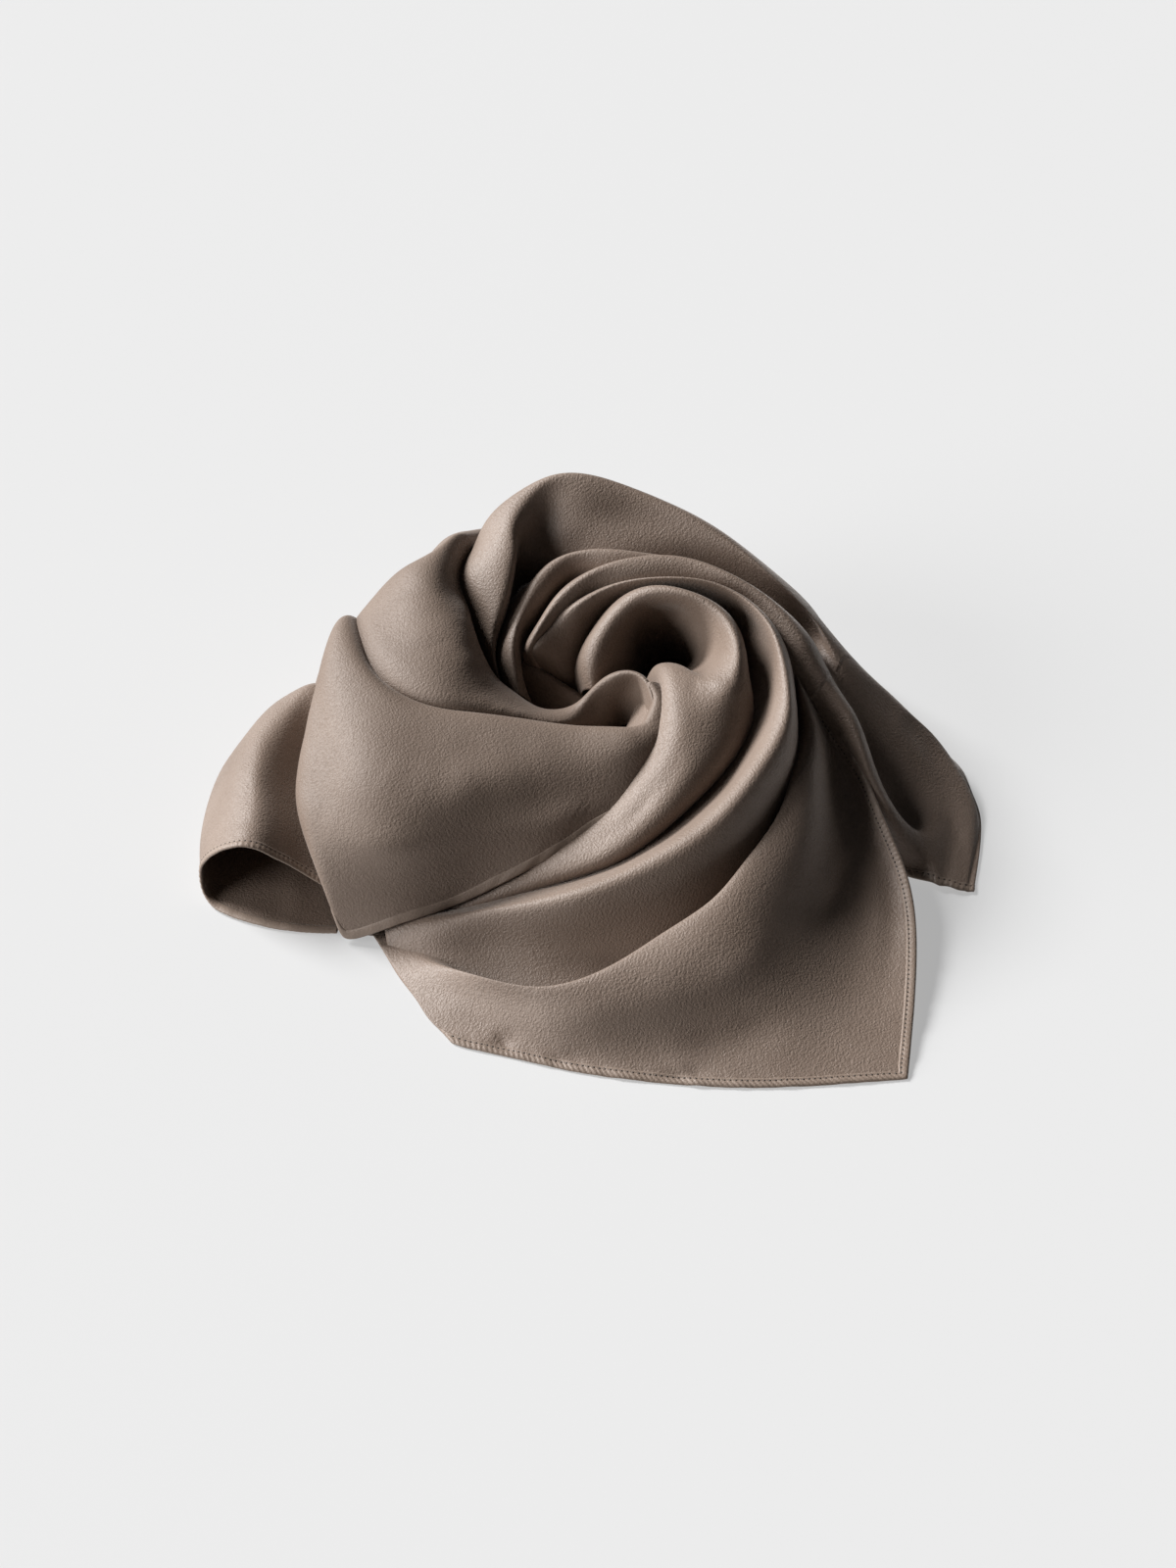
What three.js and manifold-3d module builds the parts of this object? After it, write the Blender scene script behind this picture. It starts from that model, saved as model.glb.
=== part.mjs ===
// A square silk scarf with a narrow stitched hem, twisted into a swirl and dropped on a table.
// Millimetres, +Z up. The origin lies on the table under the eye of the swirl, and the side that
// faces the viewer is -Y. One layer of cloth is a thin wall, and each stretch that shows is its own
// mesh. The layers buried inside the heap share one rounded solid, flat where it rests.
import * as THREE from "three";
import Module from "manifold-3d";

const WALL = 1.2; // thickness of a layer
const GAP = 0.35; // clear space between two layers
const TABLE_GAP = 0.1; // lowest point of a layer above the table
const CORE_CLEARANCE = 3; // from the underside of the layers down to the hidden heap
const CORE_REACH = 9; // how far sideways the hidden heap stays clear of a layer
const CORE_TOP = 38; // greatest height of the hidden heap
const CORE_FLOOR = 14; // its height under the open pockets
const CORE_EDGE = 3; // height at which the hidden heap ends at its rim
const CORE_SPOKES = 28; // directions round the eye
const CORE_RINGS = 7; // steps from the eye to the rim
const CORE_FARTHEST = 150; // longest spoke
const CLOTH = { color: 0x8a7768, roughness: 0.5, metalness: 0 };
const BURIED = { color: 0x6b5b4f, roughness: 0.8, metalness: 0 };

const wasm = await Module();
wasm.setup();

// Tables. A row is a section across a fold, and each named column is a point of it: x y z.
// Down a column, the points follow one line along the fold.
function table(names, text) {
  const rows = text.trim().split("\n").map((line) =>
    line.split("|").map((cell) => new THREE.Vector3(...cell.trim().split(/\s+/).map(Number))),
  );
  return { names: names.split(" "), rows };
}

// The corner that points at the viewer, from its tight end under the swirl to its far left edge.
const FRONT_CORNER = table("foot flank crest shoulder slope nearHem hem", `
    85   29  44 |   85   20  56 |   87   15  62 |   89   12  60 |   92   13  54 |   95   13  49 |   97   13  46
    89    6  30 |   87   -4  46 |   90  -12  55 |   95  -13  55 |   99   -8  46 |  102   -1  41 |  104    1  43
    88  -24  22 |   84  -33  42 |   85  -39  54 |   93  -42  52 |  101  -35  38 |  109  -25  31 |  117  -23  36
    83  -52  20 |   79  -60  38 |   76  -66  49 |   86  -73  45 |   99  -71  31 |  115  -59  23 |  127  -52  28
    69  -85  16 |   65  -87  32 |   61  -90  44 |   71 -100  40 |   89 -101  26 |  114  -89  15 |  137  -91  15
    52 -110  14 |   48 -111  29 |   44 -112  39 |   53 -126  35 |   72 -141  20 |   98 -158   7 |  129 -182   1
    29 -123  12 |   26 -126  26 |   23 -127  34 |   30 -142  31 |   43 -157  17 |   58 -174   5 |   71 -187   1
     4 -138  11 |    1 -141  22 |    0 -143  30 |    4 -153  26 |   11 -163  15 |   20 -175   5 |   28 -185   1
   -26 -144   8 |  -29 -147  17 |  -29 -149  24 |  -27 -154  20 |  -23 -162  12 |  -18 -170   4 |  -13 -178   1
   -56 -132   5 |  -58 -134  12 |  -56 -137  18 |  -53 -142  14 |  -50 -150   8 |  -46 -160 3.5 |  -43 -169   1
   -88  -98 2.5 |  -84 -111   5 |  -78 -123   8 |  -74 -134   6 |  -70 -144 4.5 |  -66 -153 2.5 |  -63 -163   1
  -107  -91   1 | -100 -106 1.5 |  -93 -121 1.5 |  -86 -133 1.5 |  -80 -145 1.5 |  -74 -153   1 |  -69 -160   1
`);

// The high fold at the back, from its narrow left end over the top to the right.
// footIn is its foot inside the swirl, and footOut is its foot on the table behind.
const HOOD = table("footIn lowIn highIn crest highOut midOut footOut", `
   -47   36  34 |  -48   31  40 |  -49   25  47 |  -50   25  49 |  -51   27  48 |  -53   32  44 |  -54   40  36
   -53   51  42 |  -53   44  52 |  -52   38  60 |  -54   38  63 |  -57   40  60 |  -60   45  54 |  -63   55  44
   -48   64  48 |  -49   57  60 |  -47   51  71 |  -49   49  76 |  -55   49  74 |  -63   54  66 |  -69   63  54
   -42   83  58 |  -44   79  72 |  -42   73  85 |  -44   72  90 |  -53   70  88 |  -67   71  78 |  -69   81  62
   -34   83  64 |  -39   88  79 |  -40   87  90 |  -44   88  95 |  -52   89  92 |  -63   88  80 |  -66   99  62
   -28   83  70 |  -32   93  82 |  -34   98  93 |  -38  101  99 |  -50  102  94 |  -60   97  78 |  -62  104  50
   -21   84  74 |  -23   94  86 |  -25  104  97 |  -26  110 104 |  -32  115  97 |  -39  116  66 |  -42  120  24
   -11   85  78 |  -11   93  88 |  -11  102  98 |  -10  111 104 |  -10  117  98 |  -12  130  60 |  -14  141   2
     9   83  80 |    9   91  88 |   10  101  96 |   10  107 100 |   12  113  94 |   14  121  56 |   16  131   1
    37   82  78 |   37   86  85 |   37   91  91 |   37   96  94 |   42  102  87 |   48  117  54 |   56  134   1
    61   75  70 |   61   77  77 |   61   79  84 |   60   83  86 |   65   88  79 |   72   94  46 |   79  107   1
    85   61  58 |   84   63  66 |   83   64  73 |   82   66  75 |   88   71  68 |  101   84  40 |  114  100   1
   100   51  48 |  100   52  56 |   99   52  61 |   99   54  62 |  104   58  55 |  113   60  30 |  122   70   1
`);

// The second fold from the back, from the pocket round to the right.
const OUTER_RIDGE = table("footIn flankIn crest flankOut footOut", `
   -22   40  30 |  -29   35  42 |  -36   36  50 |  -39   40  49 |  -40   47  38
   -24   43  42 |  -31   36  57 |  -36   33  64 |  -39   38  60 |  -39   49  46
   -25   45  54 |  -26   42  66 |  -30   41  73 |  -33   45  68 |  -34   56  54
   -15   56  60 |  -17   50  74 |  -22   51  80 |  -26   55  74 |  -27   66  60
    -3   59  68 |   -6   57  80 |  -10   59  86 |  -15   64  80 |  -17   77  64
    10   60  74 |    9   58  86 |    7   64  91 |    5   68  86 |    4   81  70
    33   60  74 |   34   58  86 |   34   65  92 |   34   70  86 |   35   83  70
    52   53  70 |   54   52  82 |   56   55  90 |   58   61  84 |   60   76  66
    67   41  64 |   70   41  77 |   74   44  84 |   78   49  78 |   80   64  58
    77   24  54 |   83   23  66 |   90   26  74 |   95   34  68 |   97   49  50
`);

// The right corner, where the outer ridge and the high fold run out together over the table.
const RIGHT_RIDGE = table("footIn flankIn crest flankOut valley", `
    89   17  40 |   95    9  54 |  100   12  61 |  104   19  57 |  105   27  49
    99    8  26 |  107   -5  42 |  112   -4  51 |  116    3  45 |  117   10  29
   111   -9  14 |  116  -22  29 |  120  -25  38 |  124  -18  32 |  126  -12  18
   122  -30   6 |  127  -39  18 |  130  -41  26 |  134  -35  21 |  137  -29  11
   129  -47   3 |  135  -49   9 |  139  -48  14 |  144  -42  13 |  148  -35  11
   134  -53   2 |  140  -53   5 |  146  -52   8 |  150  -49   8 |  154  -44   7
   137  -55 1.5 |  142  -58 2.5 |  148  -61 3.5 |  151  -63 3.5 |  154  -63   3
`);
const RIGHT_SLOPE = table("low middle high edge fall footOut", `
   107   33  49 |  109   36  51 |  112   41  51 |  118   44  45 |  125   50  28 |  133   59   1
   121   17  32 |  124   27  38 |  127   35  39 |  133   38  32 |  141   40  18 |  148   48   1
   131    0  20 |  136   15  26 |  141   28  28 |  147   29  22 |  154   27  12 |  159   33   1
   143  -13  13 |  148    4  17 |  155   20  17 |  160   19  12 |  164   13   7 |  168   18   1
   153  -23  10 |  158  -11  10 |  166   -1   9 |  170   -2   6 |  169   -2 3.5 |  172    0   1
   158  -39   6 |  162  -33   6 |  169  -25   5 |  172  -23   3 |  173  -20   2 |  174  -19   1
   157  -64   3 |  160  -65 2.5 |  163  -65   2 |  164  -65 1.5 |  166  -65 1.5 |  167  -65   1
`);

// The narrow fold between the outer ridge and the high fold, on the left of the swirl.
const BACK_RIDGE = table("footIn flankIn crest flankOut footOut", `
   -34   24  34 |  -36   18  44 |  -41   16  50 |  -46   23  46 |  -48   36  34
   -40   35  42 |  -40   28  54 |  -44   27  60 |  -50   34  55 |  -52   48  41
   -39   46  52 |  -40   42  62 |  -43   39  68 |  -49   45  62 |  -51   60  47
   -32   55  58 |  -34   53  70 |  -37   55  76 |  -44   61  69 |  -46   81  54
   -25   67  64 |  -26   63  76 |  -31   65  81 |  -35   70  75 |  -37   86  58
   -14   72  70 |  -15   72  80 |  -20   74  85 |  -26   78  79 |  -28   90  64
    -1   75  74 |   -2   70  82 |   -4   75  88 |   -9   81  82 |  -11   91  68
    14   74  76 |   14   69  82 |   13   73  88 |   11   80  82 |   11   91  68
    33   73  74 |   32   69  80 |   32   73  85 |   33   78  80 |   33   88  68
`);

// The long fold that starts in the pocket, goes round the eye and comes to the front.
const MIDDLE_RIDGE = table("footIn flankIn crest flankOut footOut", `
    -9   37  24 |  -18   33  38 |  -28   34  48 |  -34   36  51 |  -36   47  42
   -10   39  32 |  -17   34  48 |  -26   33  60 |  -34   33  64 |  -36   45  50
    -9   44  42 |  -15   39  58 |  -22   40  68 |  -28   43  68 |  -31   52  55
    -6   52  52 |   -9   47  68 |  -14   46  77 |  -19   50  74 |  -21   60  60
     8   63  60 |    6   55  77 |    3   54  84 |   -1   59  79 |   -3   69  64
    32   65  64 |   30   55  82 |   28   51  91 |   27   57  86 |   27   67  70
    53   57  62 |   55   48  80 |   53   46  90 |   55   52  84 |   58   63  66
    63   34  54 |   71   28  72 |   74   25  84 |   78   30  78 |   82   38  58
    64   12  48 |   73    2  66 |   78   -3  77 |   83   -4  77 |   87   13  54
    60   -4  44 |   68  -20  61 |   77  -28  72 |   84  -28  68 |   88   -9  38
    51  -22  40 |   58  -43  57 |   67  -55  66 |   77  -55  51 |   83  -47  16
    31  -46  34 |   39  -67  50 |   49  -80  58 |   60  -83  38 |   67  -84   8
     9  -64  28 |   16  -84  43 |   26  -96  49 |   35 -104  27 |   40 -113   5
   -13  -73  22 |   -7  -93  36 |    1 -105  41 |    8 -113  19 |   11 -127   3
   -40  -78  16 |  -35  -97  28 |  -28 -107  31 |  -24 -115  14 |  -21 -131 2.5
   -66  -82  10 |  -62  -96  19 |  -58 -103  21 |  -55 -110  10 |  -52 -126   2
   -85  -84   8 |  -83  -93  13 |  -80 -101  14 |  -79 -107   9 |  -79 -113 1.5
  -103  -78   4 | -102  -85   8 | -101  -92   8 | -100  -97   5 |  -99 -101 1.5
`);

// The innermost fold, a funnel round the deep hollow, with a broad shoulder in front.
const FUNNEL_RIDGE = table("floor wall rim shoulderIn shoulderOut foot", `
     4   46  20 |    1   30  36 |   -3   18  50 |   -8   16  53 |  -12   22  46 |  -13   30  32
    13   60  20 |    8   38  43 |    0   26  60 |   -8   24  64 |  -14   30  57 |  -15   41  40
    18   69  20 |   12   53  48 |    8   39  70 |    0   37  76 |   -7   43  67 |   -8   56  48
    23   74  20 |   18   57  56 |   18   44  81 |   16   47  87 |    9   54  79 |    7   70  58
    30   75  22 |   30   53  62 |   34   41  85 |   36   43  90 |   34   52  82 |   33   67  60
    36   69  26 |   42   41  64 |   50   29  83 |   55   30  86 |   59   35  77 |   58   47  56
    38   60  30 |   45   27  62 |   54    6  80 |   61    1  82 |   65    5  70 |   65   19  48
    34   52  32 |   39   21  60 |   45   -2  76 |   55  -15  77 |   66  -11  62 |   62   -4  42
    27   50  32 |   31   26  58 |   36    5  74 |   42  -21  74 |   55  -36  60 |   51  -25  38
    19   46  32 |   22   27  56 |   26    9  72 |   31  -28  72 |   38  -58  56 |   33  -46  33
    15   25  34 |   17   20  48 |   18    9  61 |   20  -37  62 |   17  -76  47 |   11  -65  26
     5   -9  32 |    5  -11  40 |    4  -19  47 |    2  -60  48 |   -5  -86  38 |  -12  -75  19
   -13  -33  26 |  -15  -35  33 |  -17  -42  38 |  -22  -74  37 |  -30  -88  28 |  -37  -83  14
   -40  -57  18 |  -43  -59  23 |  -45  -63  26 |  -50  -79  25 |  -57  -89  18 |  -64  -88   9
   -67  -71  10 |  -68  -73  13 |  -70  -76  15 |  -73  -84  14 |  -78  -90  10 |  -82  -94   5
`);

// The small fold at the bottom of the pocket, that twists from the outer ridge down to the cup.
const POCKET_FOLD = table("footOut side crest flank footIn", `
   -44   34  36 |  -42   33  44 |  -40   39  51 |  -36   43  49 |  -32   47  42
   -42   30  32 |  -38   30  40 |  -35   34  51 |  -31   37  48 |  -27   41  38
   -36   21  30 |  -31   24  37 |  -28   29  48 |  -24   32  46 |  -21   36  36
   -26   16  30 |  -22   20  35 |  -19   25  45 |  -16   28  43 |  -13   32  34
   -16   13  28 |  -13   17  33 |  -11   21  41 |   -8   24  40 |   -6   28  32
    -8   10  26 |   -5   13  30 |   -3   17  36 |   -1   20  35 |    1   24  30
`);

// The upper left panel, from behind the high fold to the back wall of the small cup.
const UPPER_LEFT_PANEL = table("tuck lip upper middle lower foot", `
   -20  134  44 |  -24  138  50 |  -30  142  50 |  -38  146  40 |  -44  149  24 |  -48  150   3
   -40  118  52 |  -46  122  62 |  -54  124  63 |  -64  128  52 |  -72  130  32 |  -77  130   3
   -52   98  52 |  -60  100  71 |  -68   98  80 |  -80   98  70 |  -90  104  40 |  -96  108   2
   -57   92  50 |  -63   92  72 |  -72   88  85 |  -86   76  79 | -101   84  46 | -109   92   2
   -64   78  50 |  -68   74  70 |  -78   61  86 |  -97   66  82 | -115   64  52 | -123   72   2
   -66   63  50 |  -66   47  75 |  -77   35  85 |  -99   34  81 | -119   49  64 | -132   50   2
   -61   44  48 |  -61   29  71 |  -69   12  80 |  -89    2  80 | -110    8  69 | -128   22  30
   -53   27  42 |  -53   14  63 |  -60   -4  72 |  -73  -16  74 |  -87  -13  66 |  -99   -2  50
   -43   20  38 |  -43    7  58 |  -47   -8  65 |  -54  -17  67 |  -63  -16  60 |  -68   -7  46
   -29   15  34 |  -31    1  54 |  -33  -10  59 |  -37  -15  59 |  -40  -12  53 |  -43   -3  40
   -15   19  32 |  -16    4  53 |  -16   -5  54 |  -14   -6  50 |  -14   -3  44 |  -14    3  34
    -6   28  34 |   -8    6  60 |   -6    3  56 |   -3    2  50 |   -1    2  44 |   -1    5  36
     3   32  40 |    1    8  68 |    3    5  64 |    5    6  56 |    6    7  47 |    6    8  38
    12   32  44 |   11    6  72 |   12    5  67 |   13    4  59 |   13    5  50 |   12    6  41
    20   22  46 |   18   -1  72 |   17   -2  67 |   17   -2  60 |   16   -1  52 |   15    1  43
    23    9  46 |   21  -12  69 |   20  -12  65 |   18  -11  58 |   16   -7  49 |   14   -4  41
`);

// The left front panel, from the back left, over the front, and round the small cup.
const LEFT_FRONT_PANEL = table("tuck lip upper middle dent lower hem", `
   -86   96  22 |  -91  102  28 |  -98  104  29 | -106  104  25 | -112  103  17 | -116  101   9 | -118  100   2
   -97   76  32 | -105   80  41 | -114   81  42 | -125   78  35 | -132   74  24 | -136   70  12 | -138   68   2
  -104   54  42 | -112   57  56 | -123   54  57 | -132   46  46 | -138   37  31 | -140   29  15 | -141   22   2
  -111   44  52 | -119   47  70 | -127   40  70 | -134    4  56 | -138  -14  40 | -137  -34  22 | -132  -52   6
  -110   26  54 | -116   21  76 | -125    8  75 | -132  -17  63 | -139  -48  48 | -134  -72  34 | -122  -90   8
  -103    8  52 | -105   -2  75 | -106  -18  75 | -112  -49  67 | -118  -70  53 | -121  -85  32 | -116  -97 2.5
   -83   -9  50 |  -84  -17  72 |  -84  -32  72 |  -86  -57  66 |  -90  -80  52 |  -92  -89  32 |  -93  -97  12
   -59  -10  48 |  -60  -21  70 |  -59  -34  70 |  -58  -55  64 |  -58  -72  50 |  -61  -83  32 |  -68  -90  17
   -36  -12  46 |  -37  -22  67 |  -35  -34  68 |  -31  -50  62 |  -29  -65  50 |  -32  -76  39 |  -41  -84  29
   -13  -14  44 |  -14  -24  65 |  -12  -34  66 |   -8  -45  61 |   -6  -55  53 |   -9  -64  46 |  -15  -72  38
     4  -17  44 |    3  -26  66 |    9  -35  66 |   13  -41  61 |   11  -48  54 |    6  -56  49 |   -3  -65  44
    13  -15  45 |   14  -25  66 |   21  -27  66 |   25  -31  60 |   19  -40  53 |   12  -50  49 |    4  -58  45
    19   -7  46 |   19  -18  68 |   26  -17  68 |   29  -16  60 |   26  -22  52 |   17  -36  47 |    9  -46  43
    20    2  47 |   21  -10  70 |   26   -7  69 |   30   -4  59 |   28   -5  48 |   20  -20  42 |   12  -34  39
    16    9  47 |   18   -2  72 |   23    0  70 |   27    7  59 |   27   10  46 |   21    0  38 |   14  -15  34
`);

// The loop on the left: over the top, round the fold and back along the table.
const LOOP_TOP = table("tuck right top topLeft shoulder", `
  -127  -77  15 | -138  -74  22 | -150  -75  32 | -160  -75  38 | -170  -73  36
  -128  -57  18 | -139  -54  25 | -150  -57  35 | -160  -59  40 | -171  -55  35
  -132  -27  22 | -143  -24  28 | -153  -25  37 | -162  -26  41 | -173  -21  33
  -131    6  26 | -142    8  33 | -151    7  39 | -161    8  38 | -169   12  28
  -131   32  38 | -139   35  39 | -146   37  35 | -153   40  27 | -158   43  17
  -125   53  16 | -128   57  15 | -132   59  13 | -135   60  10 | -137   59   7
`);
const LOOP_UNDER = table("side fold turn floorLeft floor floorTuck", `
  -180  -69  26 | -185  -66  14 | -183  -71   4 | -171  -81   1 | -146  -90   1 | -122  -92   1
  -182  -48  23 | -187  -43  10 | -182  -47   2 | -166  -59   1 | -143  -67   1 | -120  -72   1
  -181  -14  20 | -185  -10   8 | -180  -14 1.5 | -166  -23   1 | -145  -31   1 | -122  -39   1
  -175   17  15 | -177   19   5 | -170   13 1.5 | -157    8   1 | -142    1   1 | -124   -6   1
  -161   43   7 | -160   41   2 | -154   36 1.5 | -145   32   1 | -135   28   1 | -123   22   1
  -138   58   4 | -137   57   2 | -135   55 1.5 | -131   54   1 | -127   53   1 | -122   52   1
`);

// Rows of two tables side by side.
const beside = (a, b) => a.rows.map((row, i) => [...row, ...b.rows[i]]);
const RIGHT_CORNER_ROWS = beside(RIGHT_RIDGE, RIGHT_SLOPE);
const VALLEY = RIGHT_RIDGE.names.indexOf("valley");
const HEM = FRONT_CORNER.names.indexOf("hem");
const CORNER_ROW = 5; // row of the front corner's table that ends at its point
const last = (rows) => rows[rows.length - 1];

// The layers. from and to choose the rows that are built: rows outside them only lead the
// curves on, so that a fold which two meshes share runs smoothly from one to the other.
const LAYERS = {
  front_corner: {
    rows: FRONT_CORNER.rows,
    stations: 15,
    across: 10,
    breaks: { [HEM]: [CORNER_ROW] },
  },
  left_front_panel: { rows: LEFT_FRONT_PANEL.rows, stations: 20, across: 10 },
  upper_left_panel: { rows: UPPER_LEFT_PANEL.rows, stations: 18, across: 8 },
  hood: {
    rows: [...HOOD.rows, ...RIGHT_CORNER_ROWS.slice(0, 3).map((row) => row.slice(VALLEY))],
    to: HOOD.rows.length,
    stations: 18,
    across: 10,
  },
  right_corner: {
    rows: [[...last(OUTER_RIDGE.rows).slice(0, VALLEY), ...last(HOOD.rows)], ...RIGHT_CORNER_ROWS],
    from: 1 + GAP / 20,
    stations: 9,
    across: 13,
  },
  outer_ridge: {
    rows: [
      ...OUTER_RIDGE.rows,
      ...RIGHT_CORNER_ROWS.slice(0, 3).map((row) => row.slice(0, VALLEY + 1)),
    ],
    to: OUTER_RIDGE.rows.length,
    stations: 15,
    across: 7,
  },
  middle_ridge: { rows: MIDDLE_RIDGE.rows, stations: 19, across: 7 },
  funnel_ridge: { rows: FUNNEL_RIDGE.rows, stations: 18, across: 8 },
  back_ridge: { rows: BACK_RIDGE.rows, stations: 10, across: 6 },
  pocket_fold: { rows: POCKET_FOLD.rows, stations: 7, across: 6 },
  left_loop: { rows: beside(LOOP_TOP, LOOP_UNDER), stations: 8, across: 15 },
};

// A natural cubic spline through values at knots, as a function.
function spline(knots, values) {
  const n = knots.length;
  const bend = new Array(n).fill(0);
  const upper = new Array(n).fill(0);
  for (let i = 1; i < n - 1; i++) {
    const before = knots[i] - knots[i - 1];
    const after = knots[i + 1] - knots[i];
    const turn = (values[i + 1] - values[i]) / after - (values[i] - values[i - 1]) / before;
    const pivot = 2 * (before + after) - before * upper[i - 1];
    upper[i] = after / pivot;
    bend[i] = (6 * turn - before * bend[i - 1]) / pivot;
  }
  for (let i = n - 2; i > 0; i--) bend[i] -= upper[i] * bend[i + 1];
  return (t) => {
    let i = 0;
    while (i < n - 2 && t > knots[i + 1]) i++;
    const step = knots[i + 1] - knots[i];
    const a = (knots[i + 1] - t) / step;
    const b = 1 - a;
    const curve = (a ** 3 - a) * bend[i] + (b ** 3 - b) * bend[i + 1];
    return a * values[i] + b * values[i + 1] + (curve * step ** 2) / 6;
  };
}

// The spline of a line of points, one spline for each axis.
function curve(knots, points) {
  const axes = ["x", "y", "z"].map((axis) => spline(knots, points.map((p) => p[axis])));
  return (t) => new THREE.Vector3(...axes.map((f) => f(t)));
}

// The same with corners: a separate curve on each side of a broken point.
function brokenCurve(knots, points, breaks = []) {
  const ends = [...breaks, points.length - 1];
  let start = 0;
  const pieces = ends.map((end) => {
    const piece = curve(knots.slice(start, end + 1), points.slice(start, end + 1));
    start = end;
    return { until: knots[end], piece };
  });
  return (t) => (pieces.find(({ until }) => t <= until + 1e-9) ?? last(pieces)).piece(t);
}

// Knots spaced by the mean distance from one line of points to the next.
function knotsOf(lines) {
  const knots = [0];
  for (let i = 1; i < lines.length; i++) {
    const apart = lines[i].map((p, j) => p.distanceTo(lines[i - 1][j]));
    const mean = apart.reduce((sum, d) => sum + d, 0) / apart.length;
    knots.push(knots[i - 1] + mean ** 0.6);
  }
  return knots;
}

// Where a row number, whole or not, lies along the knots.
function knotAt(knots, row) {
  const i = Math.min(Math.floor(row), knots.length - 2);
  return knots[i] + (row - i) * (knots[i + 1] - knots[i]);
}

// The grid of points on a layer's upper face: one list for each station along the fold.
function grid({ rows, from = 0, to = rows.length - 1, stations, across, breaks = {} }) {
  const along = knotsOf(rows);
  const columns = rows[0].map((_, j) => rows.map((row) => row[j]));
  const over = knotsOf(columns);
  const lines = columns.map((points, j) => brokenCurve(along, points, breaks[j]));
  const start = knotAt(along, from);
  const end = knotAt(along, to);
  const places = Array.from({ length: stations }, (_, i) =>
    THREE.MathUtils.lerp(start, end, i / (stations - 1)),
  );
  for (const broken of Object.values(breaks).flat()) {
    const near = places.map((t) => Math.abs(t - along[broken]));
    places[near.indexOf(Math.min(...near))] = along[broken];
  }
  return places.map((t) => {
    const section = curve(over, lines.map((line) => line(t)));
    return Array.from({ length: across }, (_, j) => section((last(over) * j) / (across - 1)));
  });
}

// The direction out of the cloth at each point of a grid. It points up at the highest point.
function normals(points) {
  const at = (i, j) => points[i]?.[j];
  const out = points.map((line, i) =>
    line.map((p, j) => {
      const alongFold = (at(i + 1, j) ?? p).clone().sub(at(i - 1, j) ?? p);
      const acrossFold = (at(i, j + 1) ?? p).clone().sub(at(i, j - 1) ?? p);
      return alongFold.cross(acrossFold).normalize();
    }),
  );
  let top = [0, 0];
  points.forEach((line, i) =>
    line.forEach((p, j) => {
      if (p.z > at(...top).z) top = [i, j];
    }),
  );
  if (out[top[0]][top[1]].z < 0) out.flat().forEach((n) => n.negate());
  return out;
}

// A closed wall under a grid of points. grow makes it thicker and wider on every side.
function wall(points, grow = 0) {
  const out = normals(points);
  const stations = points.length;
  const across = points[0].length;
  const widened = points.map((line, i) =>
    line.map((p, j) => {
      const moved = p.clone();
      const inward = [
        i === 0 && points[1][j],
        i === stations - 1 && points[i - 1][j],
        j === 0 && line[1],
        j === across - 1 && line[j - 1],
      ];
      for (const other of inward) {
        if (other) moved.add(p.clone().sub(other).setLength(grow));
      }
      return moved;
    }),
  );
  const lowest = WALL + TABLE_GAP;
  const face = (depth, floor) =>
    widened.map((line, i) =>
      line.map((p, j) => {
        const q = p.clone().setZ(Math.max(p.z, lowest)).addScaledVector(out[i][j], -depth);
        return q.setZ(Math.max(q.z, floor));
      }),
    );
  const vertices = [...face(-grow, -grow).flat(), ...face(WALL + grow, TABLE_GAP - grow).flat()];
  const upper = (i, j) => i * across + j;
  const lower = (i, j) => stations * across + i * across + j;
  const index = [];
  const quad = (a, b, c, d) => {
    const short = vertices[a].distanceTo(vertices[c]) < vertices[b].distanceTo(vertices[d]);
    if (short) index.push(a, b, c, a, c, d);
    else index.push(a, b, d, b, c, d);
  };
  for (let i = 0; i < stations - 1; i++) {
    for (let j = 0; j < across - 1; j++) {
      quad(upper(i, j), upper(i + 1, j), upper(i + 1, j + 1), upper(i, j + 1));
      quad(lower(i, j), lower(i, j + 1), lower(i + 1, j + 1), lower(i + 1, j));
    }
    quad(upper(i, 0), lower(i, 0), lower(i + 1, 0), upper(i + 1, 0));
    const e = across - 1;
    quad(upper(i + 1, e), lower(i + 1, e), lower(i, e), upper(i, e));
  }
  for (let j = 0; j < across - 1; j++) {
    quad(upper(0, j + 1), lower(0, j + 1), lower(0, j), upper(0, j));
    const e = stations - 1;
    quad(upper(e, j), lower(e, j), lower(e, j + 1), upper(e, j + 1));
  }
  return closed(vertices, index);
}

// A solid from points and triangles, turned so that its faces point out.
function closed(vertices, index) {
  const triVerts = new Uint32Array(index);
  const vertProperties = new Float32Array(vertices.flatMap((p) => p.toArray()));
  let sixVolumes = 0;
  for (let i = 0; i < index.length; i += 3) {
    const [a, b, c] = [0, 1, 2].map((k) => vertices[index[i + k]]);
    sixVolumes += a.dot(b.clone().cross(c));
  }
  if (sixVolumes < 0) triVerts.reverse();
  return new wasm.Manifold(new wasm.Mesh({ numProp: 3, vertProperties, triVerts }));
}

// The largest body of a solid that a cut may have left in pieces.
function largestBody(solid) {
  const bodies = solid.decompose();
  return bodies.reduce((best, body) => (body.volume() > best.volume() ? body : best));
}

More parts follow.
